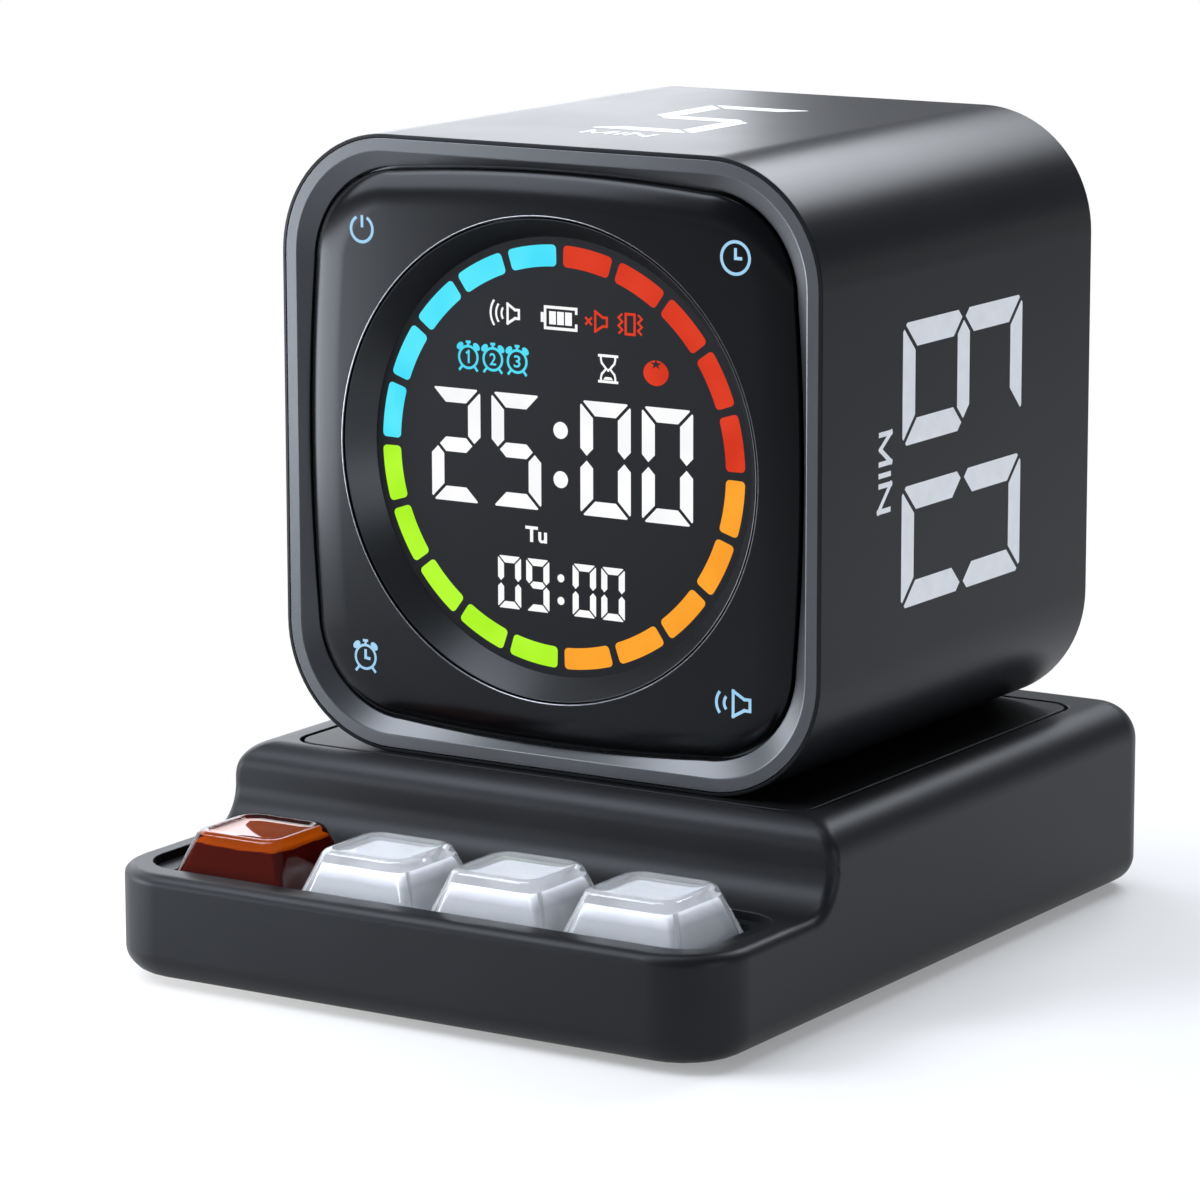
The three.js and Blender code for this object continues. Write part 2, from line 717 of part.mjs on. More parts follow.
// Return spring: one wire wound up a helix, closed by a flat lid at each end.
function springCoil() {
  const [sides, stepsPerCurl] = [5, 8];
  const wire = springWire / 2;
  const bottom = keyBoardTop + springSeatGap + wire;
  const top = postTop - postRoof - springSeatGap - wire;
  const steps = springCurls * stepsPerCurl;
  const rings = [];
  const path = [];
  for (let step = 0; step <= steps; step++) {
    const angle = (step / stepsPerCurl) * 2 * Math.PI;
    const z = bottom + ((top - bottom) * step) / steps;
    path.push(new THREE.Vector3(springRadius * Math.cos(angle), springRadius * Math.sin(angle), z));
    const ring = [];
    for (let side = 0; side < sides; side++) {
      const turn = (side / sides) * 2 * Math.PI;
      const radius = springRadius + wire * Math.cos(turn);
      ring.push(new THREE.Vector3(radius * Math.cos(angle), radius * Math.sin(angle), z + wire * Math.sin(turn)));
    }
    rings.push(ring);
  }
  let nearest = Infinity;
  path.forEach((point, i) => {
    for (const other of path.slice(i + stepsPerCurl / 2)) {
      nearest = Math.min(nearest, point.distanceTo(other));
    }
  });
  return { geometry: loft(rings, fromFront), gap: nearest - springWire };
}

const spring = springCoil();
console.log(`least gap between spring curls ${spring.gap.toFixed(2)} mm`);

const housing = switchHousing();
const stem = switchStem();
const core = capCore();
const shell = capShell();
keyXs.forEach((x, i) => {
  const key = new THREE.Group();
  key.position.set(x, keyRowY, 0);
  const first = i === 0;
  addPart(key, `switch_housing_${i + 1}`, housing, innerBlack);
  addPart(key, `switch_stem_${i + 1}`, stem, stemWhite);
  addPart(key, `switch_spring_${i + 1}`, spring.geometry, steel);
  addPart(key, `keycap_core_${i + 1}`, core, first ? redCore : whiteCore);
  addPart(key, `keycap_shell_${i + 1}`, shell, first ? orangeCap : clearCap);
  product.add(key);
});

// Cube

const cube = new THREE.Group();
const cubeY = padFrontY + cubeSetback + cubeDepth / 2;
cube.position.set(0, cubeY, dockTop + cubeHeight / 2);
product.add(cube);

function insetOutline(inset) {
  const corner = Math.max(cubeCorner - inset, 1);
  return roundedShape(cubeWidth - 2 * inset, cubeHeight - 2 * inset, corner);
}

const shoulderY = cubeFront + bezelFlange + slideClearance;
const sleeve = cut(
  upright(insetOutline(0), cubeFront, cubeBack),
  upright(insetOutline(sleeveWall), cubeFront - 1, cubeBack + 1),
  upright(insetOutline(sleeveLip), cubeFront - 1, shoulderY),
);
addPart(cube, "cube_sleeve", sleeve, satinCharcoal);

// Points of the panel's outline: a rounded square whose sides swell outwards by a slight arc.
function panelRing(inset, y) {
  const [halfX, halfZ] = [cubeWidth / 2 - inset, cubeHeight / 2 - inset];
  const corner = Math.max(panelCorner - (inset - panelFrameInset), 1);
  const sideSteps = 6;
  const points = [];
  const sides = [
    [halfX, halfZ, 0],
    [halfZ, halfX, Math.PI / 2],
    [halfX, halfZ, Math.PI],
    [halfZ, halfX, 1.5 * Math.PI],
  ];
  for (const [out, along, turn] of sides) {
    const reach = along - panelBulge - corner;
    const put = (u, v) => {
      const x = u * Math.cos(turn) - v * Math.sin(turn);
      const z = u * Math.sin(turn) + v * Math.cos(turn);
      points.push(new THREE.Vector3(x, y, z));
    };
    for (let step = 0; step <= sideSteps; step++) {
      const share = (2 * step) / sideSteps - 1;
      put(out - panelBulge * share * share, share * reach);
    }
    for (let step = 1; step < cornerSteps; step++) {
      const angle = (step / cornerSteps) * (Math.PI / 2);
      put(out - panelBulge - corner + corner * Math.cos(angle), reach + corner * Math.sin(angle));
    }
  }
  return points;
}

function panelSolid(layers) {
  return loft(layers.map(([inset, y]) => panelRing(inset, y)), fromFront);
}

const bezelBodyInset = sleeveWall + slideClearance;
const bezelBack = mainBoardFront - layerGap;
const slopeBottom = cubeFront + bezelSlopeDepth;
const ledgeFront = panelBack + layerGap;
const bezel = cut(
  join(
    upright(insetOutline(rimOuterInset), cubeFront, cubeFront + bezelFlange),
    upright(insetOutline(bezelBodyInset), cubeFront + bezelFlange / 2, bezelBack),
  ),
  panelSolid([[panelFrameInset, slopeBottom - layerGap], [panelFrameInset, ledgeFront]]),
  panelSolid([[panelFrameInset + bezelLedge, slopeBottom], [panelFrameInset + bezelLedge, bezelBack + 1]]),
  upright(insetOutline(rimInnerInset), cubeFront - 1, cubeFront),
  loft(
    [
      roundedUprightRing(rimInnerInset - bezelSlopeWidth / 2, cubeFront - bezelSlopeDepth / 2),
      roundedUprightRing(panelFrameInset, slopeBottom),
    ],
    fromFront,
  ),
);
addPart(cube, "front_bezel", bezel, satinBlack);

function roundedUprightRing(inset, y) {
  const [x, z] = [cubeWidth / 2 - inset, cubeHeight / 2 - inset];
  const corner = Math.max(cubeCorner - inset, 1);
  return roundedRing(-x, x, -z, z, corner, corner, 0).map((point) => new THREE.Vector3(point.x, y, point.y));
}

// Front panel, rounded over towards its edges, with the round dial opening
const panelInset = panelFrameInset + panelGap;
const panelLayers = [[panelInset, panelBack], [panelInset, cubeFront + panelRoundDepth]];
for (let step = 1; step <= filletSteps; step++) {
  const angle = (step / filletSteps) * (Math.PI / 2);
  const inset = panelInset + panelRound * (1 - Math.cos(angle));
  panelLayers.push([inset, cubeFront + panelRoundDepth * (1 - Math.sin(angle))]);
}
const dialHole = barAlongY(dialRadius, cubeFront - 1, panelBack + 1, 0, 0, roundSides);
addPart(cube, "front_panel", cut(panelSolid(panelLayers), dialHole), glossBlack);

// Touch sensor sheet on the panel's back
const filmInset = panelFrameInset + bezelLedge + filmMargin;
const filmSheet = panelSolid([[filmInset, filmFront], [filmInset, filmBack]]);
const filmHole = barAlongY(dialRadius, filmFront - 1, filmBack + 1, 0, 0, roundSides);
addPart(cube, "touch_film", cut(filmSheet, filmHole), smokedLens);

// Cone from the panel's opening down to the display, with a flange behind the sheet
const coneOuter = dialRadius - coneGap;
const coneFront = cubeFront + coneSet;
const coneBack = windowFront - layerGap;
const dialCone = turnedAlongY([
  [displayRadius, coneBack],
  [coneOuter - layerGap, coneFront],
  [coneOuter, coneFront],
  [coneOuter, filmBack + layerGap],
  [coneOuter + coneFlangeLip, filmBack + layerGap],
  [coneOuter + coneFlangeLip, coneBack],
]);
addPart(cube, "dial_cone", dialCone, glossBlack);

const windowDisc = barAlongY(coneOuter, windowFront, windowBack, 0, 0, roundSides);
addPart(cube, "display_window", windowDisc, smokedLens);
const moduleDisc = barAlongY(coneOuter - layerGap, moduleFront, moduleBack, 0, 0, roundSides);
addPart(cube, "display_module", moduleDisc, lightGuide);

// Board on the front of the frame, with the chip that senses which side is up
const frameInset = sleeveWall + frameGap;
addPart(cube, "main_board", upright(insetOutline(frameInset), mainBoardFront, mainBoardBack), boardGreen);
const sensor = box(4, 1.2, 4, 12, mainBoardBack + layerGap + 0.6, 10);
addPart(cube, "motion_sensor", sensor, chipBlack);

// Frame: a wall inside the sleeve, a deck across it and posts back to the cover

const postX = cubeWidth / 2 - sleeveWall - postInset;
const postZ = cubeHeight / 2 - sleeveWall - postInset;
const posts = [
  [-postX, -postZ],
  [postX, -postZ],
  [-postX, postZ],
  [postX, postZ],
];
const frameHollow = insetOutline(frameInset + frameWall);
const rearScrewHead = rearCoverBack - screwRecess + screwHeadHeight;
const rearScrewTip = rearScrewHead - screwLength;
const postBack = rearCoverFront - layerGap;
const frame = cut(
  join(
    cut(
      upright(insetOutline(frameInset), frameFront, frameBack),
      upright(frameHollow, frameFront - 1, deckFront),
      upright(frameHollow, deckBack, frameBack + 1),
    ),
    ...posts.map(([x, z]) => barAlongY(rearPostRadius, deckBack - frameDeck / 2, postBack, x, z)),
  ),
  ...posts.map(([x, z]) => barAlongY(bossBore, rearScrewTip - 1, postBack + 1, x, z)),
);
addPart(cube, "inner_frame", frame, innerBlack);

const cubeCellFront = deckBack + layerGap;
const cubeCellBack = cubeCellFront + cubeBatteryThickness;
const cubeCell = upright(roundedShape(cubeBatteryWidth, cubeBatteryHeight, 2), cubeCellFront, cubeCellBack, 1);
addPart(cube, "cube_battery", cubeCell, cellSilver);

// Vibration motor lying on the deck, with its half-round weight on the shaft's end

const motorY = deckBack + motorRadius + layerGap;
const motorZ = -motorDrop;
const motorLeft = -motorLength;
const motorRight = 0;
const weightLeft = motorRight + weightGap;
const weightRight = weightLeft + weightLength;
const shaftLeft = motorLeft / 2;
const motorBore = barAlongX(shaftRadius + shaftClearance, shaftLeft - 1, motorRight + 1, motorY, motorZ);
const motor = cut(barAlongX(motorRadius, motorLeft, motorRight, motorY, motorZ, 24), motorBore);
addPart(cube, "vibration_motor", motor, steel);

const weightHalf = box(2 * weightLength + 2, 2 * weightRadius + 1, weightRadius + 1, weightLeft, motorY, 0);
const weight = join(
  cut(
    barAlongX(weightRadius, weightLeft, weightRight, motorY, motorZ, 24),
    weightHalf.translate(0, 0, motorZ + shaftRadius + (weightRadius + 1) / 2),
  ),
  barAlongX(shaftRadius, shaftLeft, weightRight, motorY, motorZ),
);
addPart(cube, "vibration_weight", weight, steel);

// Rear cover with sound holes, screw recesses and the charging opening

const soundHoles = [[0, 0]];
for (let ring = 1; ring <= soundHoleRings; ring++) {
  for (let i = 0; i < 6 * ring; i++) {
    const angle = (i / (6 * ring)) * 2 * Math.PI;
    soundHoles.push([ring * soundHolePitch * Math.cos(angle), ring * soundHolePitch * Math.sin(angle)]);
  }
}
const chargeBoardTop = -cubeInletDrop - inletHeight / 2 - layerGap;
const chargeBoardBottom = chargeBoardTop - chargeBoardThickness;
const shelfFront = rearCoverFront - chargeBoardDepth;
const shelfMiddle = (shelfFront + rearCoverFront) / 2;
const shelfThickness = 1.2;
const shelf = box(
  chargeBoardWidth, chargeBoardDepth + 0.5, shelfThickness, 0, shelfMiddle, chargeBoardBottom - layerGap - shelfThickness / 2,
);
const coverInset = sleeveWall + slideClearance;
const rearCover = cut(
  join(upright(insetOutline(coverInset), rearCoverFront, rearCoverBack), shelf),
  inletOpening(-cubeInletDrop, rearCoverFront - 1, rearCoverBack + 1),
  ...soundHoles.map(([x, z]) => {
    return barAlongY(soundHoleRadius, rearCoverFront - 1, rearCoverBack + 1, x, z + speakerLift, 6);
  }),
  ...posts.map(([x, z]) => barAlongY(screwHeadRadius + slideClearance, rearCoverBack - screwRecess, rearCoverBack + 1, x, z)),
  ...posts.map(([x, z]) => barAlongY(screwRadius + slideClearance, rearCoverFront - 1, rearCoverBack, x, z)),
);
addPart(cube, "rear_cover", rearCover, satinBlack);

posts.forEach(([x, z], i) => {
  const turned = screw(0, 0, 0).rotateX(Math.PI / 2).translate(x, rearScrewHead, z);
  addPart(cube, `rear_screw_${i + 1}`, turned, screwBlack);
});

// Speaker against the cover's inside: a basket with its magnet, and the cone in it

const speakerBack = rearCoverFront - layerGap;
const speakerFront = speakerBack - speakerDepth;
const basketFloor = speakerFront + speakerDepth / 2;
const coneRim = speakerRadius - speakerFlange;
const basket = turnedAlongY(
  [
    [0, speakerFront],
    [magnetRadius, speakerFront],
    [magnetRadius, basketFloor],
    [speakerRadius, speakerBack - speakerFlange],
    [speakerRadius, speakerBack],
    [coneRim, speakerBack],
    [coneRim, speakerBack - speakerFlange],
    [magnetRadius - speakerFlange, basketFloor + speakerFlange / 2],
    [0, basketFloor + speakerFlange / 2],
  ],
  32,
);
addPart(cube, "speaker_basket", basket.translate(0, 0, speakerLift), steel);
const coneSkin = 0.5;
const coneSeat = basketFloor + speakerFlange / 2 + slideClearance;
const speakerCone = turnedAlongY(
  [
    [0, coneSeat],
    [magnetRadius - speakerFlange - slideClearance, coneSeat],
    [coneRim - slideClearance, speakerBack - speakerFlange + slideClearance],
    [coneRim - slideClearance, speakerBack - speakerFlange + slideClearance + coneSkin],
    [magnetRadius - speakerFlange - slideClearance, coneSeat + coneSkin],
    [0, coneSeat + coneSkin],
  ],
  32,
);
addPart(cube, "speaker_cone", speakerCone.translate(0, 0, speakerLift), coneFibre);

// Charging inlet on its small board, which lies on the cover's shelf

const chargeBoard = box(
  chargeBoardWidth, chargeBoardDepth - 1, chargeBoardThickness,
  0, shelfMiddle - 0.2, (chargeBoardTop + chargeBoardBottom) / 2,
);
addPart(cube, "charge_board", chargeBoard, boardGreen);
const cubeInletBack = rearCoverBack - layerGap;
addPart(cube, "cube_usb_socket", inlet(-cubeInletDrop, cubeInletBack - inletDepth, cubeInletBack), steel);

export default product;
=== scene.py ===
import math

import bmesh
import bpy
from mathutils import Matrix, Vector


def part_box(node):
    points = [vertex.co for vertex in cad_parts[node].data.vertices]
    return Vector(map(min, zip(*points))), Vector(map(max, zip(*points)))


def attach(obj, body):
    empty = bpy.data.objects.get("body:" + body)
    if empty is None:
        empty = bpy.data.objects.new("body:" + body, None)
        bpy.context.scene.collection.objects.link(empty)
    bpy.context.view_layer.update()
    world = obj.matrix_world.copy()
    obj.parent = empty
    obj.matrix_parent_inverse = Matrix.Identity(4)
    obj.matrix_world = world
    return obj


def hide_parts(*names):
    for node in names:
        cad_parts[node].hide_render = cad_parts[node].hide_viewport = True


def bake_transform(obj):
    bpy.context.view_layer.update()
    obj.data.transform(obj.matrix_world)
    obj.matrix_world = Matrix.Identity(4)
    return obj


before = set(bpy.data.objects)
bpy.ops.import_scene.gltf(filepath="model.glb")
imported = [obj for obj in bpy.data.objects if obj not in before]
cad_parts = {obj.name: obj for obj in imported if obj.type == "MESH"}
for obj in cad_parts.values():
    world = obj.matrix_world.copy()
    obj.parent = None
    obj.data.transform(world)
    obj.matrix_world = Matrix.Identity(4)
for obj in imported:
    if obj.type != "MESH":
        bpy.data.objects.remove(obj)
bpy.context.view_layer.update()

# Dock shell: the stepped housing under everything, one injection moulding in satin black plastic.
# It has a sunk tray for the keys, a hollow curve up to the rear block and a seat for the mat.
# A bottom cover closes it from below with four screws.
mm = 0.001


def set_input(tree, socket, source):
    """Gives a node's input a value, or links another node's output to it."""
    if isinstance(source, bpy.types.NodeSocket):
        tree.links.new(source, socket)
    else:
        socket.default_value = source


def plug(tree, node, **sources):
    """Sets a node's inputs by name, with _ for each space."""
    for name, source in sources.items():
        set_input(tree, node.inputs[name.replace("_", " ")], source)


def add_node(tree, kind, **sources):
    """A new shader node with some of its inputs set."""
    node = tree.nodes.new(f"ShaderNode{kind}")
    plug(tree, node, **sources)
    return node


def two_tones(tree, value, dark, light, start=0, end=1):
    """A colour that runs from one tone to another while a value climbs."""
    ramp = add_node(tree, "ValToRGB", Fac=value)
    stops = ramp.color_ramp.elements
    stops[0].position, stops[0].color = start, (*dark, 1)
    stops[1].position, stops[1].color = end, (*light, 1)
    return ramp.outputs["Color"]


def new_material(name, **constants):
    """A node material with constants on its shader, and the place on the piece for its textures."""
    material = bpy.data.materials.new(name)
    material.use_nodes = True
    tree = material.node_tree
    shader = tree.nodes["Principled BSDF"]
    plug(tree, shader, **constants)
    return material, tree, shader, add_node(tree, "TexCoord").outputs["Object"]


def moulded_plastic(name, dark, light, smooth, rough, grain=0.3, depth=0.003, drift=70, gleam=0.5):
    """Two close tones that drift over a moulding, under a fine grain that softens its shine."""
    material, tree, shader, place = new_material(
        name, Specular_IOR_Level=gleam, Specular_Tint=(0.88, 0.93, 1, 1)
    )
    flow = add_node(tree, "TexNoise", Vector=place, Scale=drift, Detail=4).outputs["Fac"]
    shine = add_node(tree, "MapRange", Value=flow, To_Min=smooth, To_Max=rough)
    pits = add_node(tree, "TexNoise", Vector=place, Scale=1 / (grain * mm), Detail=2)
    bump = add_node(tree, "Bump", Height=pits.outputs["Fac"], Strength=0.5, Distance=depth * mm)
    plug(
        tree, shader, Base_Color=two_tones(tree, flow, dark, light, 0.3, 0.7),
        Roughness=shine.outputs["Result"], Normal=bump.outputs["Normal"],
    )
    return material


def new_piece(bm, name, material):
    """Makes the mesh an object of one material."""
    mesh = bpy.data.meshes.new(name)
    bm.to_mesh(mesh)
    bm.free()
    mesh.materials.append(material)
    piece = bpy.data.objects.new(name, mesh)
    bpy.context.scene.collection.objects.link(piece)
    return piece


def shade_smooth(mesh, crease):
    """Smooth shading, broken where faces meet at more than an angle."""
    mesh.shade_smooth()
    mesh.set_sharp_from_angle(angle=math.radians(crease))


def shade_evenly(piece):
    """Lets large faces keep their own shading up to their edges."""
    shading = piece.modifiers.new("even_shading", "WEIGHTED_NORMAL")
    shading.keep_sharp = True


def finished(bm, name, material, body, slot, *nodes, crease=35, even=True):
    """Makes the mesh a piece of the object, riding on its body if it has one."""
    bmesh.ops.recalc_face_normals(bm, faces=bm.faces)
    piece = new_piece(bm, name, material)
    shade_smooth(piece.data, crease)
    if even:
        shade_evenly(piece)
    if body:
        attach(piece, body)
    if nodes:
        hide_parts(*nodes)
    return piece


def soften(bm, geom, width, steps, affect="EDGES", clamp=False):
    """Rounds edges, or the corners of a flat outline."""
    bmesh.ops.bevel(
        bm, geom=geom, offset=width, offset_type="OFFSET", affect=affect,
        segments=steps, profile=0.5, material=-1, clamp_overlap=clamp,
    )


def halve_edges(bm, edges, settle):
    """Cuts edges in two, joins the cuts across the strips and settles them on their curve."""
    made = bmesh.ops.bisect_edges(bm, edges=edges, cuts=1)["geom_split"]
    cuts = [g for g in made if isinstance(g, bmesh.types.BMVert)]
    places = [settle(*(e.other_vert(v).co for e in v.link_edges)) for v in cuts]
    fresh = set(cuts)
    for face in dict.fromkeys(f for v in cuts for f in v.link_faces):
        ends = [v for v in face.verts if v in fresh]
        if len(ends) == 2:
            bmesh.utils.face_split(face, *ends)
    for vert, place in zip(cuts, places):
        vert.co = place


def drawn_in(radius, drop):
    """How far a rounded edge draws in, at a drop from the face that it meets."""
    return radius - math.sqrt(radius**2 - (radius - drop) ** 2) if drop < radius else 0


def finer_fillet(bm, level, radius, front_radius, middle):
    """Gives the rounded edge round a level face twice as many steps."""

    def settle(a, b):
        drops = [min(abs(p.z - level), radius) for p in (a, b)]
        turn = sum(math.acos(1 - drop / radius) for drop in drops) / 2
        fall = radius * (1 - math.cos(turn))

        def share(r):
            first, last, here = (drawn_in(r, drop) for drop in (*drops, fall))
            return (here - first) / (last - first) if abs(last - first) > 1e-9 else 0.5

        across, along = share(radius), share(front_radius if a.y < middle.y else radius)
        z = level + math.copysign(fall, middle.z - level)
        return Vector((a.x + (b.x - a.x) * across, a.y + (b.y - a.y) * along, z))

    slopes = []
    for edge in bm.edges:
        a, b = (v.co for v in edge.verts)
        sloping = abs(a.z - b.z) > 0.02 * mm and (a.xy - b.xy).length > 0.02 * mm
        if sloping and all(abs(p.z - level) < radius + 0.001 * mm for p in (a, b)):
            slopes.append(edge)
    halve_edges(bm, slopes, settle)


def finer_arcs(bm, centre, along, ways, most):
    """Gives the arcs round an axis twice as many steps: those in one quarter, out to a radius."""
    u, v = (i for i in range(3) if i != along)
    slack = 0.003 * mm

    def spoke(p):
        return Vector((p[u] - centre[u], p[v] - centre[v]))

    def settle(a, b):
        spot = (a + b) / 2
        out = spoke(spot).normalized() * spoke(a).length
        spot[u], spot[v] = centre[u] + out.x, centre[v] + out.y
        return spot

    arcs = []
    for edge in bm.edges:
        a, b = (vert.co for vert in edge.verts)
        reach = spoke(a).length
        level = abs(a[along] - b[along]) < slack
        in_quarter = all(spoke(p)[i] * ways[i] > -slack for p in (a, b) for i in (0, 1))
        same_reach = 1 * mm < reach < most + slack and abs(reach - spoke(b).length) < slack
        if level and in_quarter and same_reach:
            arcs.append(edge)
    halve_edges(bm, arcs, settle)


dock_low, dock_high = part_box("base_shell")
pad_low, pad_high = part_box("rest_pad")
key_low, key_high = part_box("keycap_shell_1")
tray_height = key_high.z - 4.5 * mm
satin_black = moulded_plastic(
    "satin_black", (0.0062, 0.0065, 0.0076), (0.008, 0.0084, 0.0097), 0.4, 0.46, gleam=0.22
)
shell = bmesh.new()
shell.from_mesh(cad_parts["base_shell"].data)
bmesh.ops.remove_doubles(shell, verts=shell.verts, dist=0.001 * mm)
bmesh.ops.dissolve_limit(
    shell, angle_limit=math.radians(0.3), verts=shell.verts, edges=shell.edges
)
top_round, nose_round, bottom_round, rear_corner = 5 * mm, 3.5 * mm, 3.6 * mm, 6.3 * mm
dock_middle = (dock_low + dock_high) / 2
for way, side in ((-1, dock_low.x), (1, dock_high.x)):
    corner_axis = Vector((side - way * rear_corner, dock_high.y - rear_corner, 0))
    finer_arcs(shell, corner_axis, 2, (way, 1), rear_corner)
cove_round, cove_flare = 5.1 * mm, 1.5 * mm
cove_axis = Vector((0, key_high.y + 2.45 * mm, tray_height + cove_round))
for _ in range(2):
    finer_arcs(shell, cove_axis, 0, (1, -1), cove_round + cove_flare)
    finer_fillet(shell, dock_high.z, top_round, nose_round, dock_middle)
    finer_fillet(shell, dock_low.z, bottom_round, bottom_round, dock_middle)
rim_edges = [
    edge
    for edge in shell.edges
    if len(edge.link_faces) == 2
    and edge.calc_face_angle() > math.radians(60)
    and any(
        all(abs(v.co.z - height) < 0.01 * mm for v in edge.verts)
        for height in (tray_height, dock_high.z)
    )
]
soften(shell, rim_edges, 0.16 * mm, 2, clamp=True)
finished(shell, "dock_shell_moulding", satin_black, "dock", "dock_plastic", "base_shell")

# Rest mat: a thin sheet of dense black rubber let into the dock's top, where the cube stands.
# It is die cut with softened edges and stuck down, which leaves a fine groove all round it.


def rounded_block(low, high, corner, along, steps=12):
    """A block between two corners, with the four edges along one axis rounded."""
    bm = bmesh.new()
    bmesh.ops.create_cube(bm, size=1)
    bmesh.ops.scale(bm, vec=high - low, verts=bm.verts)
    bmesh.ops.translate(bm, vec=(low + high) / 2, verts=bm.verts)
    edges = [e for e in bm.edges if abs(e.verts[0].co[along] - e.verts[1].co[along]) > 1e-7]
    soften(bm, edges, corner, steps)
    return bm


def end_face(bm, direction):
    """The face that lies furthest in a direction and looks that way."""
    ahead = Vector(direction)
    bm.normal_update()
    looking = [f for f in bm.faces if f.normal.dot(ahead) > 0.999]
    return max(looking, key=lambda f: f.calc_center_median().dot(ahead))


def round_over(bm, face, radius, steps=3):
    """Rounds the edges of one end face."""
    soften(bm, list(face.edges), radius, steps)


dense_rubber = moulded_plastic(
    "dense_rubber", (0.004, 0.004, 0.0045), (0.006, 0.006, 0.0066), 0.42, 0.5, 0.22, 0.006,
    gleam=0.15,
)
mat_corner, mat_edge, mat_drop = 3.45 * mm, 0.25 * mm, 0.03 * mm
mat = rounded_block(pad_low, pad_high - Vector((0, 0, mat_drop)), mat_corner, 2)
round_over(mat, end_face(mat, (0, 0, 1)), mat_edge)
finished(mat, "rest_mat_sheet", dense_rubber, "dock", "soft_rubber", "rest_pad")

# Bottom cover: a flat black plate with sunk seats for the feet and the screws, and pegs inside.
# It is moulded in a plain grade with a coarser grain than the parts that show.


def dress(material, *names):
    """Gives CAD nodes that stay in the model their own finish."""
    for name in names:
        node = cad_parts[name]
        if not node.material_slots:
            node.data.materials.append(material)
        for place in node.material_slots:
            place.material = material


hidden_black = moulded_plastic(
    "hidden_black", (0.008, 0.008, 0.009), (0.014, 0.014, 0.015), 0.5, 0.62, 0.6, 0.012
)
dress(hidden_black, "base_plate", "inner_frame")

# Feet: four discs of soft rubber with a rounded sole, pressed and glued into the cover's seats.
# They lift the dock a little off the table and keep it from sliding when a key is pressed.


def turned(profile, centre, axis, steps=48):
    """Turns a profile of radius and height pairs once round an axis through a centre."""
    bm = bmesh.new()
    ahead = Vector(axis).normalized()
    side = ahead.orthogonal().normalized()
    points = [bm.verts.new(Vector(centre) + side * r + ahead * h) for r, h in profile]
    edges = [bm.edges.new(pair) for pair in zip(points, points[1:])]
    bmesh.ops.spin(
        bm, geom=points + edges, cent=centre, axis=ahead, dvec=(0, 0, 0),
        angle=2 * math.pi, steps=steps, use_merge=True, use_duplicate=False,
    )
    bmesh.ops.remove_doubles(bm, verts=bm.verts, dist=1e-7)
    return bm


soft_rubber = moulded_plastic(
    "soft_rubber", (0.012, 0.012, 0.013), (0.02, 0.02, 0.021), 0.6, 0.75, 0.4, 0.01
)
for number in range(1, 5):
    foot_low, foot_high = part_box(f"foot_{number}")
    reach = (foot_high.x - foot_low.x) / 2
    rise = foot_high.z - foot_low.z
    sole = (foot_low + foot_high) / 2
    sole.z = foot_low.z
    foot = turned(
        [
            (0, 0), (reach * 0.8, 0), (reach * 0.9, 0.06 * mm), (reach * 0.97, 0.2 * mm),
            (reach, 0.45 * mm), (reach, rise), (0, rise),
        ],
        sole, (0, 0, 1),
    )
    finished(foot, f"rubber_foot_{number}", soft_rubber, "dock", "soft_rubber", f"foot_{number}")

# Screws: small slotted pan-head screws in blackened steel, driven into posts inside each shell.
# The heads sit in sunk seats, four under the dock and four in the cube's back.


def brushed_metal(name, dark, light, smooth, rough, stretch=(900, 90, 900)):
    """Metal with fine drawn streaks in its tone and its shine."""
    material, tree, shader, place = new_material(name, Metallic=1)
    long_way = add_node(tree, "Mapping", Vector=place, Scale=stretch)
    noise = add_node(tree, "TexNoise", Vector=long_way.outputs["Vector"], Scale=2, Detail=5)
    streaks = noise.outputs["Fac"]
    shine = add_node(tree, "MapRange", Value=streaks, To_Min=smooth, To_Max=rough)
    tone = two_tones(tree, streaks, dark, light, 0.35, 0.65)
    plug(tree, shader, Base_Color=tone, Roughness=shine.outputs["Result"])
    return material


def slotted_screw(node, axis, name, body, material):
    """A pan head with a slot across it and a plain shank, where its CAD node is."""
    low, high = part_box(node)
    middle = (low + high) / 2
    ahead = Vector(axis)
    length = abs((high - low).dot(ahead))
    start = middle - ahead * length / 2
    head, shank, thick, slot_half, slot_depth = (
        2.6 * mm, 1.25 * mm, 0.8 * mm, 0.3 * mm, 0.4 * mm
    )
    bm = turned(
        [
            (0, 0), (head * 0.86, 0), (head * 0.95, 0.06 * mm), (head, 0.22 * mm), (head, thick),
            (shank, thick), (shank, length - 0.6 * mm), (shank * 0.4, length), (0, length),
        ],
        start, ahead, 32,
    )
    across = Vector((0, 0, 1)) if abs(ahead.z) < 0.5 else Vector((0, 1, 0))
    for way in (-1, 1):
        bmesh.ops.bisect_plane(
            bm, geom=bm.verts[:] + bm.edges[:] + bm.faces[:], dist=1e-7,
            plane_co=start + across * slot_half * way, plane_no=across,
        )
    bm.normal_update()
    floor_faces = [
        f
        for f in bm.faces
        if f.normal.dot(ahead) ** 2 > 0.99
        and (f.calc_center_median() - start).dot(ahead) < 0.1 * mm
        and abs((f.calc_center_median() - start).dot(across)) < slot_half
    ]
    sunk = bmesh.ops.extrude_face_region(bm, geom=floor_faces)
    bmesh.ops.delete(bm, geom=floor_faces, context="FACES")
    moved = [g for g in sunk["geom"] if isinstance(g, bmesh.types.BMVert)]
    bmesh.ops.translate(bm, verts=moved, vec=ahead * slot_depth)
    finished(bm, name, material, body, "screw_steel", node, crease=30)


